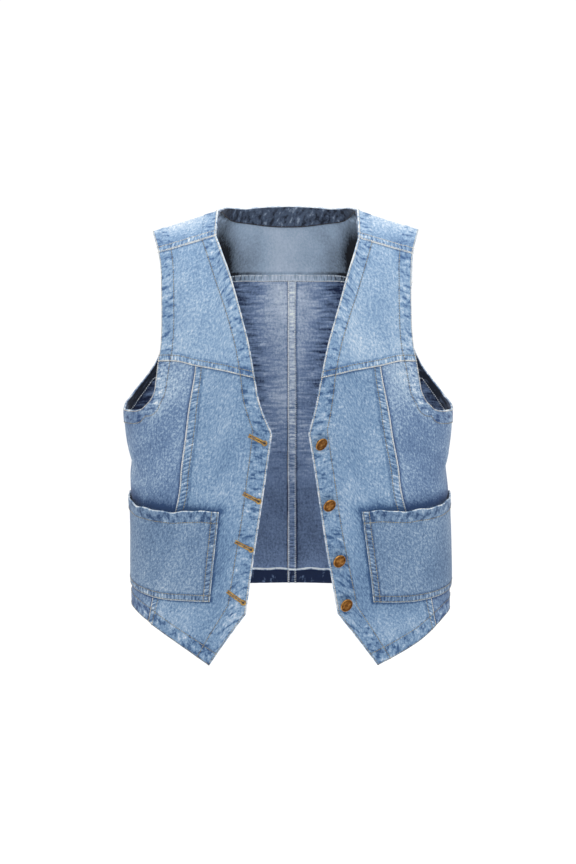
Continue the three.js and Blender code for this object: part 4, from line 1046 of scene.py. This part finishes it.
def backPanel(name):
    lines, banded, width = vestLines[name], backs["banded"], cloth["armholeBand"]
    opening, hem, centre, top = lines["backOpening"], lines["backHem"], lines["centre"], lines["yokeBack"]
    turn = opening["length"] * cut["backTurn"]
    centreTurn = distanceWhereZ(centre, cut["backTurnZ"])
    hemTurn = distanceWhere(hem, np.abs(shellAt(hem["places"])[:, 0]), cut["backTurnHemX"])
    across = (bandHead(cloth["centreFellBand"]), evenCount(top["length"] - banded[0]), bandTail(width))
    climb = (bandHead(cloth["hemBand"]), evenCount(centreTurn - banded[1]), bandTail(width))
    felled = lines["sign"] > 0        # the left back lies over the right one
    seam = {"width": cloth["centreFellBand"], "kind": "fell" if felled else "under", "inside": 0.5}
    grid, holds, edges, opened, marks = armholePanel(
        centre, centreTurn, hem, hemTurn, mark(hem, 0, hemTurn, *across), top, lines["sideBack"], opening,
        turn, 0,
        across, climb, seam)
    addPiece(backs, name, {**dressPanel(grid, edges, holds, seed=backs["seed"]), **marks})
    inside = opened < width - armholeFacings["inset"]
    edges = [edge(np.maximum(opened, 0), width * 2, "both", raised=False, spared=cloth["facingSpared"]),
             edge(np.abs(width - opened), 0, "up", "under")]
    facing = dressPanel(grid, edges, holds & inside[:-1, :-1] & inside[1:, 1:],
                        low=-cloth["seamGap"] - cloth["facingThickness"],
                        thickness=cloth["facingThickness"], seed=armholeFacings["seed"])
    addPiece(armholeFacings, name, {**facing, **marks})


# The back yoke, one piece over both shoulders, and the facing inside the back of the neck
yoke = {"name": "backYoke", "node": "back_yoke", "looks": ("yokeDenim", "insideYoke"), "slot": "denim",
        "flat": (0.40, 0.20), "area": 0.048, "on": None, "width": 110, "evenWidth": 95, "seed": 111}
neckFacing = {"name": "neckFacing", "node": "neck_facing", "looks": ("facingDenim", "facingDenim"),
              "slot": "denim_facing", "flat": (0.30, 0.045), "area": 0.0082, "on": "backYoke", "seed": 131,
              # mm from the neck edge at the centre back, from just above the folded edge, which has rolled
              # inwards in the wash
              "steps": (-0.9, -0.4, 0.2, 1.1, 2.3, *np.linspace(4.5, 24.5, 9), 27, 29, 30.4, 31.2, 31.7, 32)}


def yokeRungs(name):
    # lines across the yoke from the neck edge, from the front shoulder seam to the centre back
    lines = vestLines[name]
    neck, armhole, seam = lines["neckBack"], lines["yokeArmhole"], lines["yokeBack"]
    ridge, tip = (distanceWhere(line, -line["places"][:, 1], 0) for line in (neck, armhole))
    afterRidge, armholeRest = neck["length"] - ridge, armhole["length"] - tip
    whole = armholeRest + seam["length"]
    lead = [distance for distance in bandHead(cloth["fellBand"]) if distance < min(ridge, tip) - 1]
    count, seamCount = evenCount(armholeRest) + 1, evenCount(seam["length"]) + 1
    seamShare = cloth["fellBand"] / cloth["armholeBand"]
    ends = [(distance, along(neck, distance), along(armhole, distance), 1.0, 0.0) for distance in lead]
    later = [(armholeRest * step / count, armhole, tip + armholeRest * step / count, 1.0)
             for step in range(count)]
    onSeam = [seam["length"] * step / seamCount for step in range(seamCount + 1)]
    later += [(armholeRest + passed, seam, seam["length"] - passed, seamShare) for passed in onSeam]
    for done, line, distance, share in later:
        inner = along(neck, ridge + afterRidge * done / whole)
        ends.append((tip + done, inner, along(line, distance), share, done / whole))
    return ends, len(lead) + count


def backYoke():
    right, left = (yokeRungs(name) for name in sides)
    head, tail = bandHead(cloth["edgeBand"]), bandTail(cloth["armholeBand"])
    even = evenCount(yoke["evenWidth"])
    rungs = right[0] + left[0][:-1][::-1]
    grid = np.array([markAll(drawLine([inner, outer]), head, even, [value * share for value in tail])
                     for _, inner, outer, share, _ in rungs])
    cornerLeft = len(rungs) - 1 - left[1]
    seamRows = slice(right[1], cornerLeft + 1)
    nominal = spaced(yoke["width"], head, even, tail)
    fromSeams = np.array([rung[0] for rung in rungs])
    outerAway = (nominal[-1] - nominal)[None] * np.array([rung[3] for rung in rungs])[:, None]
    armholeRows = np.array([rung[3] == 1 for rung in rungs])[:, None]
    for rims in ((grid[0], grid[1]), (grid[-1], grid[-2]), (grid[seamRows, -1], grid[seamRows, -2])):
        trim(*rims)
    edges = [edge(nominal[None], cloth["edgeBand"], "both"),
             edge(np.where(armholeRows, outerAway, far), cloth["armholeBand"], "both"),
             edge(np.where(armholeRows, far, outerAway), cloth["fellBand"], "across", "fell", inside=0.6),
             edge(fromSeams[:, None], cloth["fellBand"], "across", "fell")]
    panel = dressPanel(grid, edges, seed=yoke["seed"])
    panel.update(columnMm=nominal, columnEnd=nominal[-1] - nominal, rowMm=fromSeams,
                 cornerRight=right[1], cornerLeft=cornerLeft)
    addPiece(yoke, "", panel)

    steps, grid = np.array(neckFacing["steps"]), []
    for _, inner, outer, _, share in rungs:
        widening = max(0, share - cloth["neckFacingStart"]) / (1 - cloth["neckFacingStart"])
        slack = cloth["neckFacing"] - cloth["neckFacingEnd"]
        width = cloth["neckFacingEnd"] + slack * math.sin(widening * math.pi / 2)
        row = along(drawLine([inner, outer]), np.maximum(steps, 0) * width / steps[-1])
        beyond = (row[3] - row[2]) / (steps[3] - steps[2])
        grid.append(row + np.minimum(steps, 0)[:, None] * beyond)
    grid = np.array(grid)
    trim(grid[0], grid[1])
    trim(grid[-1], grid[-2])
    edges = [edge((steps - steps[0])[None], cloth["neckFacing"], "across", raised=False,
                  spared=cloth["facingSpared"]), edge((steps[-1] - steps)[None], 0, "across", "under")]
    facing = dressPanel(grid, edges, low=-cloth["neckFacingGap"] - cloth["facingThickness"],
                        thickness=cloth["facingThickness"], seed=neckFacing["seed"])
    addPiece(neckFacing, "", {**facing, "columnMm": steps})


# Patch pockets: sewn down at the inner edge and bottom, caught in the side seam, mouth standing open
pocket = {
    "name": "pocket", "node": "pocket", "looks": ("pocketDenim", "insideDenim"), "slot": "denim",
    "flat": (0.18, 0.16), "area": 0.022, "on": "frontCentre", "banded": (10, 26), "seed": 151,
    "lift": 3, "sideLift": 2, "gape": 10, "mouthBand": 15.6, "seamBand": 8.5,
    "mouthWave": 0.7, "waves": (4.1, 7.3),      # height and, in mm a radian, the lengths
    "pressed": 0.9, "pressedReach": 3.2,        # how far the sewn edges are pulled down, and over what width
    "top": {"right": ((86.8, -371.4), (112, -370), (140, -372.5), (178, -370.5)),
            "left": ((93, -371), (118, -370), (145, -371.5), (183, -369))},
    "bottom": {"right": ((98.8, -487.2), (136, -488.5), (169, -488.5)),
               "left": ((108, -488), (144, -491), (176, -491))},
    "sideTop": -361.5,
    "sideBottom": {"right": -479, "left": -484},
    # the painted shadow each pocket casts on the cloth below it, above the mouth and beside the sewn edges
    "shades": {"mouth": (7.5, -0.58), "sewn": (1.3, -1.1)},        # reach in mm and depth
}
pocketEdges = {}


def patchPocket(name):
    sign = sides[name]
    corners = {key: [placeAt(sign * x, z) for x, z in pocket[key][name]] for key in ("top", "bottom")}
    sideTop, sideBottom = placeOnSide(sign, pocket["sideTop"]), placeOnSide(sign, pocket["sideBottom"][name])
    top, bottom = drawLine([*corners["top"], sideTop]), drawLine([*corners["bottom"], sideBottom])
    inner, side = drawLine([bottom["places"][0], top["places"][0]]), drawLine([sideBottom, sideTop])
    head, banded = bandHead(pocket["seamBand"]), pocket["banded"]
    across = (head, evenCount(top["length"] - banded[0]), seamTail)
    climb = (head, evenCount(inner["length"] - banded[1]), bandTail(pocket["mouthBand"]))
    columns, rows = spaced(top["length"], *across), spaced(inner["length"], *climb)
    grid = frameGrid(markAll(bottom, *across), markAll(top, *across), markAll(inner, *climb),
                     markAll(side, *climb))
    trim(grid[:, -1], grid[:, -2])
    u, v = columns / columns[-1], rows / rows[-1]
    # the mouth's edge has stretched into a slight wave
    wave = np.sin(columns / pocket["waves"][0]) + np.sin(columns / pocket["waves"][1] + sign)
    wave *= pocket["mouthWave"] * np.sin(math.pi * u) ** 0.5
    grid[..., 1] += wave[None] * v[:, None] ** 8 / (2 * shell["overScale"] * grid[..., 1])
    lift = pocket["lift"] + (pocket["sideLift"] - pocket["lift"]) * u ** 2
    ride = lift[None] + pocket["gape"] * np.sin(math.pi * u[None]) ** 2 * v[:, None] ** 2
    pocketEdges[name] = {"mouth": shellAt(grid[-1]),
                         "sewn": shellAt(np.concatenate([grid[::-1, 0], grid[0]]))}
    seated = [smoothStep(0, pocket["pressedReach"], value) for value in (columns[None], rows[:, None])]
    ride = ride - pocket["pressed"] * (1 - np.minimum(*seated))
    marks, away = measureGrid(columns, rows)
    sewn = {"kind": "fell", "raised": False, "spared": cloth["pocketSpared"]}
    edges = [edge(away[3], pocket["mouthBand"], "across", inside=0.4),
             edge(away[0], pocket["seamBand"], "up", **sewn),
             edge(away[2], pocket["seamBand"], "across", **sewn),
             edge(away[1], 0, "up", "under")]
    addPiece(pocket, name, {**dressPanel(grid, edges, ride=ride, seed=pocket["seed"]), **marks})


def paintPocketShadow(panel, name):
    # painted shadow: darkens the cloth above the pocket's mouth, where the pocket shades it, and in a fine
    # line beside its sewn edges
    points = panel["outer"]
    for key, (reach, depth) in pocket["shades"].items():
        away = np.full(points.shape[:2], 1e3)
        for point in pocketEdges[name][key]:
            aside, _, up = np.moveaxis(points - point, -1, 0)
            if key == "mouth":
                up = np.where(up > -2, up, 9)        # nothing shows below the mouth
            away = np.minimum(away, np.hypot(aside, up))
        panel["shade"] += depth * np.exp(-(away / reach) ** 1.5)


backYoke()
for name in sides:
    patchPocket(name)
    frontYoke(name)
    frontCentre(name)
    frontSide(name)
    backPanel(name)
print("vest: cloth pieces made", {name: len(entry["piece"].data.polygons) * 2 for name,
                                  entry in pieces.items()})


# Sewing: each row follows the skin of its piece, and one node tree lays the stitches
def stitchTree():
    tree = bpy.data.node_groups.new("layStitches", "GeometryNodeTree")
    kinds = {"Path": "Geometry", "Pitch": "Float", "Length": "Float", "Width": "Float", "Height": "Float",
             "Slant": "Float", "Unevenness": "Float", "Seed": "Int", "Thread": "Material"}
    for label, kind in kinds.items():
        tree.interface.new_socket(label, in_out="INPUT", socket_type="NodeSocket" + kind)
    tree.interface.new_socket("Stitches", in_out="OUTPUT", socket_type="NodeSocketGeometry")
    given = addNode(tree, "NodeGroupInput").outputs
    curve = addNode(tree, "GeometryNodeMeshToCurve", {"Mesh": given["Path"]})
    spots = addNode(tree, "GeometryNodeResampleCurve", {"Curve": curve, "Length": given["Pitch"]},
                    mode="LENGTH")
    way = addNode(tree, "GeometryNodeInputTangent")
    facing = addNode(tree, "GeometryNodeInputNamedAttribute", {"Name": "clothFacing"},
                     data_type="FLOAT_VECTOR")
    shake = addNode(tree, "FunctionNodeRandomValue", {0: (-1, -1, -1), 1: (1, 1, 1), "Seed": given["Seed"]},
                    data_type="FLOAT_VECTOR")
    shaken = addNode(tree, "ShaderNodeVectorMath", {0: shake, "Scale": given["Unevenness"]},
                     operation="SCALE")
    ahead = addNode(tree, "ShaderNodeVectorMath", {0: way, 1: shaken}, operation="ADD")
    turned = addNode(tree, "FunctionNodeAxesToRotation", {0: facing, 1: ahead},
                     primary_axis="Z", secondary_axis="X")
    ball = addNode(tree, "GeometryNodeMeshUVSphere", {"Segments": 6, "Rings": 4, "Radius": 0.5})
    size = addNode(tree, "ShaderNodeCombineXYZ", {0: given["Length"], 1: given["Width"], 2: given["Height"]})
    slant = addNode(tree, "ShaderNodeCombineXYZ", {2: given["Slant"]})
    shaped = addNode(tree, "GeometryNodeTransform", {"Geometry": ball, "Scale": size})
    slanted = addNode(tree, "GeometryNodeTransform", {"Geometry": shaped, "Rotation": slant})
    laid = addNode(tree, "GeometryNodeInstanceOnPoints",
                   {"Points": spots, "Instance": slanted, "Rotation": turned})
    real = addNode(tree, "GeometryNodeRealizeInstances", {"Geometry": laid})
    done = addNode(tree, "GeometryNodeSetMaterial", {"Geometry": real, "Material": given["Thread"]})
    addNode(tree, "NodeGroupOutput", {0: done})
    return tree


layStitches = stitchTree()


def sewRows(name, paths, thread, sizes):
    # one object of stitches along all these paths; sizes are in millimetres and degrees
    points, faces, links = [], [], []
    for path, facing in paths:
        start = len(points)
        points.extend(path + facing * sizes["lift"])
        faces.extend(facing)
        links.extend((start + index, start + index + 1) for index in range(len(path) - 1))
    mesh = bpy.data.meshes.new(name)
    mesh.from_pydata(np.array(points) * mm, links, [])
    mesh.attributes.new("clothFacing", "FLOAT_VECTOR", "POINT").data.foreach_set("vector", np.ravel(faces))
    piece = linkObject(name, mesh)
    modifier = piece.modifiers.new("sewing", "NODES")
    modifier.node_group = layStitches
    values = {capital(key): sizes[key] * mm for key in ("pitch", "length", "width", "height")}
    values.update({"Slant": sizes["slant"] * degree, "Unevenness": sizes["uneven"], "Seed": sizes["seed"],
                   "Thread": threads[thread]})
    for socket in layStitches.interface.items_tree:
        if socket.name in values:
            modifier[socket.identifier] = values[socket.name]
    sewn = bpy.data.meshes.new_from_object(piece.evaluated_get(bpy.context.evaluated_depsgraph_get()))
    piece.modifiers.clear()
    piece.data = sewn
    sewn.name = name
    sewn.polygons.foreach_set("use_smooth", np.ones(len(sewn.polygons), bool))
    bpy.data.meshes.remove(mesh)
    pieces[name] = {"piece": piece, "slot": "denim"}


def rowAt(name, distance, key="columnMm", span=None, skin="outer"):
    # a row at this distance from an edge: up the piece for a column key and across it for a row key
    panel, up = panels[name], key.startswith("column")
    place = indexAt(panel[key], distance)
    if span is None:
        span = np.arange(2, panel["places"].shape[0 if up else 1] - 2)
    return pathOn(panel, place, span, skin) if up else pathOn(panel, span, place, skin)


def roundArmhole(name, distance, skin="outer"):
    # down beside an armhole, round its turn and along to the side seam
    panel = panels[name]
    turnColumn, turnRow = panel["turnColumn"], panel["turnRow"]
    aside, under = panel["aside"][:turnColumn + 1], panel["under"][:turnRow + 1]
    rows = np.arange(panel["places"].shape[0] - 1, turnRow - 1, -1.0)
    columns = np.arange(turnColumn + 1, panel["places"].shape[1], 1.0)
    bend = np.linspace(0, math.pi / 2, 9)[1:-1]
    bendColumns = [indexAt(aside, distance * math.cos(angle)) for angle in bend]
    bendRows = [indexAt(under, distance * math.sin(angle)) for angle in bend]
    column, row = indexAt(aside, distance), indexAt(under, distance)
    allColumns = np.concatenate([np.full(len(rows), column), bendColumns, [turnColumn], columns])
    allRows = np.concatenate([rows, bendRows, [row], np.full(len(columns), row)])
    return pathOn(panel, allColumns, allRows, skin)


# eight stitches to 25 mm in heavy topstitching thread, drawn half as wide again so that it shows
running = {"pitch": 3.1, "length": 2.7, "width": 1.25, "height": 0.8, "slant": 0, "uneven": 0.12,
           "lift": 0.15, "seed": 5}
rowInset = 1.2        # from the edge of a hem's or facing's band to its row of stitches
rowsFrom = {          # distances from an edge, in millimetres
    "edge": 1.5, "fell": 8.4, "centreFell": 9.4, "mouth": pocket["mouthBand"] - 0.9,
    "front": cloth["edgeBand"] - rowInset, "hem": cloth["hemBand"] - rowInset,
    "armhole": cloth["armholeBand"] - rowInset, "facing": cloth["armholeBand"] - 2.2, "neckFacing": 30.4,
    "innerFell": (0.9, 8.4), "whipped": (1.0, 9.9),
}
yokePanel = panels["backYoke"]
yokeSeam = np.arange(yokePanel["cornerRight"], yokePanel["cornerLeft"] + 1)        # rungs on the back seam


def sewOutside():
    tan, cream = [], []
    folded, fell, front = rowsFrom["edge"], rowsFrom["fell"], rowsFrom["front"]
    for name in map(capital, sides):
        kinds = ("frontYoke", "frontCentre", "frontSide", "back", "pocket")
        upper, centre, side, back, patch = (kind + name for kind in kinds)
        slantRow, count = panels[centre]["slantRow"], panels[centre]["places"].shape[0]
        tan += [rowAt(upper, front), rowAt(centre, front)]
        cream.append(rowAt(upper, folded))
        tan.append(rowAt(centre, folded, span=np.arange(2, slantRow + 1)))
        cream.append(rowAt(centre, folded, span=np.arange(slantRow, count - 2)))
        tan.append(rowAt(upper, rowsFrom["armhole"], "columnEnd"))
        cream.append(rowAt(upper, folded, "columnEnd"))
        for piece, rows in ((side, cream), (back, tan)):
            tan.append(roundArmhole(piece, rowsFrom["armhole"]))
            rows.append(roundArmhole(piece, folded))
        for distance, rows in ((folded, cream), (fell, tan)):
            rows += [rowAt(upper, distance, "rowMm"), rowAt(centre, distance, "columnEnd")]
            tan += [rowAt(patch, distance), rowAt(patch, distance, "rowMm")]
        tan += [rowAt(piece, distance, "rowMm") for piece in (centre, side, back)
                for distance in (rowsFrom["hem"], folded)]
        tan.append(rowAt(patch, rowsFrom["mouth"], "rowEnd"))
    tan += [rowAt("backLeft", distance) for distance in (folded, rowsFrom["centreFell"])]
    rows, columns = (np.arange(count) for count in yokePanel["places"].shape[:2])
    third, half = len(rows) // 3, len(rows) // 2
    cream += [rowAt("backYoke", folded, span=span) for span in (rows[:third], rows[-third:])]
    tan += [rowAt("backYoke", distance, span=rows[third:-third]) for distance in (folded, front)]
    cream += [rowAt("backYoke", folded, "columnEnd", span)
              for span in (rows[:yokeSeam[0]], rows[yokeSeam[-1] + 1:])]
    for distance in (folded, fell):
        for first, seam in ((0, yokePanel["rowMm"][:half]), (half, yokePanel["rowMm"][half:])):
            cream.append(pathOn(yokePanel, columns, first + indexAt(seam, distance)))
        tan.append(rowAt("backYoke", distance * 2, "columnEnd", yokeSeam))
    sewRows("stitchesTan", tan, "tanThread", running)
    sewRows("stitchesCream", cream, "creamThread", {**running, "pitch": 2.9, "width": 1.15})


def sewInside():
    down, across = (np.arange(panels[name]["places"].shape[0]) for name in ("backLeft", "neckFacing"))
    pale = [rowAt("backYoke", distance * 2, "columnEnd", yokeSeam, "inner")
            for distance in rowsFrom["innerFell"]]
    whip = [rowAt("backLeft", distance, span=down, skin="inner") for distance in rowsFrom["whipped"]]
    for name in map(capital, sides):
        pale += [rowAt(piece + name, rowsFrom["hem"], "rowMm", skin="inner")
                 for piece in ("frontCentre", "frontSide")]
        pale += [rowAt(piece + name, rowsFrom["front"], skin="inner")
                 for piece in ("frontYoke", "frontCentre")]
        pale.append(roundArmhole("armholeFacing" + name, rowsFrom["facing"], "inner"))
    brown = [rowAt("neckFacing", rowsFrom["neckFacing"], span=across, skin="inner")]
    sewRows("stitchesInside", pale, "paleThread", {**running, "width": 1.5, "height": 0.9})
    sewRows("stitchesWhipped", whip, "paleThread", {**running, "pitch": 2.6, "length": 3.4, "slant": 58})
    sewRows("stitchesFacing", brown, "brownThread", running)


sewOutside()
sewInside()
print("vest: sewing done")


# Keyhole buttonholes on the wearer's right front: a slit of painted shade, an eyelet and close thread round
# both
buttonhole = {
    "edgeEnd": ((26.9, -283.6), (34.5, -357.7), (44.2, -419.6), (54.4, -488.6)),        # x and z, right side
    "farEnd": ((48.9, -272.8), (56.1, -346.9), (66.5, -408.6), (76.8, -472.9)),
    "gap": 1.4, "eyelet": 2.7, "segments": 19, "barPoints": 14, "ringStart": 0.6, "slitLift": 0.12,
}
threadRow = {"pitch": 0.55, "length": 2.6, "width": 0.85, "height": 1.4, "slant": 90, "uneven": 0.3,
             "lift": 0.45, "seed": 8}


def dropOn(flat, panel):
    # the points of a skin nearest to these x and z, blended from the four nearest
    skin, facing = panel["outer"].reshape(-1, 3), panel["normals"].reshape(-1, 3)
    points, faces = [], []
    for x, z in flat:
        away = np.hypot(skin[:, 0] - x, skin[:, 2] - z)
        near = np.argsort(away)[:4]
        weight = 1 / (away[near] + 0.3)
        weight = (weight / weight.sum())[:, None]
        face = unit((facing[near] * weight).sum(axis=0))
        blended = (skin[near] * weight).sum(axis=0)
        points.append([x, blended[1] - ((x - blended[0]) * face[0] + (z - blended[2]) * face[2]) / face[1],
                       z])
        faces.append(face)
    return np.array(points), np.array(faces)


def sewButtonholes():
    # each hole is laid out in x and z, then dropped on the band's outer skin
    panel, gap, eyelet = panels["frontCentreRight"], buttonhole["gap"], buttonhole["eyelet"]
    threadPaths, slitShadeFaces, slitShadePoints = [], [], []
    angles = np.linspace(buttonhole["ringStart"], 2 * math.pi - buttonhole["ringStart"],
                         buttonhole["segments"])
    ring = [(eyelet * (1 + math.cos(angle)), eyelet * math.sin(angle)) for angle in angles]
    for edgeEnd, farEnd in zip(buttonhole["edgeEnd"], buttonhole["farEnd"]):
        start, end = (np.array([-x, z]) for x, z in (edgeEnd, farEnd))
        ahead = unit(end - start)
        aside = np.array([-ahead[1], ahead[0]])
        length = np.linalg.norm(end - start)
        bar = np.linspace(length, 2 * eyelet, buttonhole["barPoints"])
        loop = [(x, gap) for x in bar] + ring + [(x, -gap) for x in bar[::-1]]
        threadPaths.append(dropOn([start + ahead * x + aside * y for x, y in loop], panel))
        # how far along and how wide the slit's painted shade is, from its eyelet to its bar
        widths = [(0.6, 0.6), (eyelet, 1.4), (2 * eyelet - 0.6, 0.6), (2 * eyelet, 0.4), (length - 1, 0.4)]
        strip = [start + ahead * x + aside * y * way for x, y in widths for way in (-1, 1)]
        stripPoints, stripFaces = dropOn(strip, panel)
        base = len(slitShadePoints)
        slitShadePoints.extend(stripPoints + stripFaces * buttonhole["slitLift"])
        slitShadeFaces.extend((base + k, base + k + 1, base + k + 3, base + k + 2)
                         for k in range(0, len(strip) - 2, 2))
    sewRows("buttonholeThreads", threadPaths, "copperThread", threadRow)
    # the slit is a dark strip of painted shade lying just over the cloth, in the dark brown thread's
    # material
    mesh = bpy.data.meshes.new("buttonholeSlits")
    mesh.from_pydata(np.array(slitShadePoints) * mm, [], slitShadeFaces)
    mesh.materials.append(threads["brownThread"])
    mesh.update()
    pieces["buttonholeSlits"] = {"piece": linkObject("buttonholeSlits", mesh), "slot": "denim"}


sewButtonholes()
print("vest: buttonholes sewn")


# Shank buttons on the wearer's left front, each held by a tack on the inside
button = {
    "radius": 8.7, "top": 6.6, "footRadius": 2.6, "footGap": 0.4, "tackGap": 0.6, "segments": 64,
    "x": (38.6, 49.4, 61.9, 70.7),
    "z": (-280.5, -358.8, -430.6, -487.5),
    "lean": (40, 33, 28, 28),
    "toward": (-35, -45, -38, -30),
    # outlines as radius, height and wear: the round foot comes first, as degrees round it
    "foot": (-90, -70, -50, -30, -10, 10),
    "neck": ((2.1, 1.56, 0), (2.1, 3.8, 0), (2.6, 4.2, 0.1), (3.3, 4.4, 0.2)),
    # the cap from its back over its rim to the middle of its face, in from its radius, down from its top
    "cap": ((1.2, 2.2, 0.3), (0.5, 2.1, 0.4), (0.1, 1.75, 0.7), (0, 1.3, 0.8), (0, 0.9, 0.9),
            (0.15, 0.45, 1.0), (0.5, 0.12, 0.9), (0.95, 0, 0.8), (1.4, 0.1, 0.5), (1.7, 0.35, 0.2),
            (2.0, 0.42, 0.3), (2.4, 0.4, 0.55), (4.35, 0.3, 0.65), (6.525, 0.22, 0.7), (8.7, 0.2, 0.7)),
    "tack": ((0, 0, 0.2), (4, 0, 0.2), (4.35, 0.1, 0.5), (4.5, 0.35, 0.9), (4.4, 0.6, 1.0), (4, 0.95, 0.8),
             (2.475, 1.25, 0.5), (0.9, 1.3, 0.6), (0, 1.3, 0.6)),
}


def turnOnLathe(name, profile, seat, axis):
    # a closed turned solid: rings of points, with one point at each end of its axis
    count, rows = button["segments"], np.array(profile)
    rings = rows[rows[:, 0] > 1e-6]
    angles = np.arange(count) * 2 * math.pi / count
    radii, heights = rings[:, :1], np.broadcast_to(rings[:, 1:2], (len(rings), count))
    spun = np.stack([radii * np.cos(angles), radii * np.sin(angles), heights], axis=-1).reshape(-1, 3)
    ends = np.array([(0, 0, rows[index, 1]) for index in (0, -1)])
    turn = np.array(Vector((0, 0, 1)).rotation_difference(Vector(axis)).to_matrix())
    verts = np.concatenate([spun, ends]) @ turn.T + seat
    a = np.arange(count)
    b, last = (a + 1) % count, (len(rings) - 1) * count
    faces = [(row + i, row + j, row + j + count, row + i + count) for row in range(0, last, count) for i,
             j in zip(a, b)]
    faces += [(j, i, len(spun)) for i, j in zip(a, b)]
    faces += [(last + i, last + j, len(spun) + 1) for i, j in zip(a, b)]
    mesh = bpy.data.meshes.new(name)
    mesh.from_pydata(verts * mm, [], faces)
    wear = np.concatenate([np.repeat(rings[:, 2], count), rows[[0, -1], 2]])
    mesh.attributes.new("wear", "FLOAT", "POINT").data.foreach_set("value", wear)
    mesh.polygons.foreach_set("use_smooth", np.ones(len(faces), bool))
    mesh.materials.append(brass)
    mesh.update()
    return linkObject(name, mesh)


def sewButtons():
    foot = [(button["footRadius"] * math.cos(turn * degree), button["footRadius"] * math.sin(turn * degree),
             0.1)
            for turn in button["foot"]]
    profile = [*foot, *button["neck"]]
    profile += [(button["radius"] - inset, button["top"] - drop, wear) for inset, drop,
                wear in button["cap"]]
    rows = zip(button["x"], button["z"], button["lean"], button["toward"])
    for index, (x, z, lean, toward) in enumerate(rows, 1):
        surface, normal = (function(placeAt(x, z)) for function in (shellAt, normalAt))
        leanWay = np.array([math.cos(toward * degree), 0, math.sin(toward * degree)])
        leanWay = unit(leanWay - normal * leanWay.dot(normal))
        axis = normal * math.cos(lean * degree) + leanWay * math.sin(lean * degree)
        seat = surface + normal * (cloth["thickness"] + cloth["bandRise"] + button["footGap"]
                                   + button["footRadius"])
        cap = turnOnLathe(f"button{index}", profile, seat, axis)
        tack = turnOnLathe(f"buttonTack{index}", button["tack"], surface - normal * button["tackGap"],
                           -normal)
        pieces[cap.name] = {"piece": cap, "node": f"button_{index}", "slot": "button_brass"}
        pieces[tack.name] = {"piece": tack, "node": f"button_tack_{index}", "slot": "button_brass"}


sewButtons()
print("vest: buttons set")

for name, entry in pieces.items():
    piece = entry["piece"]
    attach(piece, "root")
    if "node" in entry:
        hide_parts(entry["node"])


# Studio: a pale floor, soft lights and the camera a little above the vest
studio = {
    "floorZ": -1.3, "floorRadius": 14, "floorPoints": 96, "floorColour": "#fdfdfd", "worldColour": "#ffffff",
    "worldStrength": 1.06,
    "lights": {
        "keySoftbox": {"at": (-0.5, -2.2, 1.7), "size": 1.6, "power": 13},
        "fillSoftbox": {"at": (1.4, -2.0, 0.6), "size": 1.6, "power": 8},
        "topSoftbox": {"at": (0.0, -0.1, 1.6), "size": 1.4, "power": 18},
    },
    "target": (0, 0, -0.2847),
}
view = {"distance": 2.7, "elevation": 9, "lens": 86.54}


def aimAt(made, target):
    made.rotation_euler = (target - made.location).to_track_quat("-Z", "Y").to_euler()


def setStudio():
    scene = bpy.context.scene
    scene.view_settings.view_transform = "Standard"        # keeps the white surroundings white
    turns = np.arange(studio["floorPoints"]) * 2 * math.pi / studio["floorPoints"]
    radius = studio["floorRadius"]
    ring = [(radius * math.cos(turn), radius * math.sin(turn), studio["floorZ"]) for turn in turns]
    mesh = bpy.data.meshes.new("floor")
    mesh.from_pydata(ring, [], [range(len(ring))])
    material, tree, shader = startMaterial("paintedFloor", Roughness=0.8)        # matt white studio paint
    place = addNode(tree, "ShaderNodeTexCoord").outputs["Object"]
    mottle = addNode(tree, "ShaderNodeTexNoise", {"Vector": place, "Scale": 3.0})
    tint = addNode(tree, "ShaderNodeMapRange", {0: mottle, 3: 0.995, 4: 1.0})
    mixed = addNode(tree, "ShaderNodeVectorMath", {0: srgb(studio["floorColour"])[:3], "Scale": tint},
                    operation="SCALE")
    tree.links.new(mixed.outputs[0], shader.inputs["Base Color"])
    mesh.materials.append(material)
    linkObject("floor", mesh)
    world = bpy.data.worlds.new("studio")
    scene.world = world
    world.use_nodes = True
    sky = world.node_tree.nodes["Background"]
    sky.inputs["Color"].default_value = srgb(studio["worldColour"])
    sky.inputs["Strength"].default_value = studio["worldStrength"]
    target = Vector(studio["target"])
    for name, light in studio["lights"].items():
        data = bpy.data.lights.new(name, "AREA")
        data.shape, data.size, data.energy = "SQUARE", light["size"], light["power"]
        lamp = linkObject(name, data)
        lamp.location = light["at"]
        aimAt(lamp, target)
    data = bpy.data.cameras.new("camera")
    data.lens = view["lens"]
    camera = linkObject("camera", data)
    tilt = view["elevation"] * degree
    camera.location = target + view["distance"] * Vector((0, -math.cos(tilt), math.sin(tilt)))
    aimAt(camera, target)
    scene.camera = camera


setStudio()
print("vest: studio set")
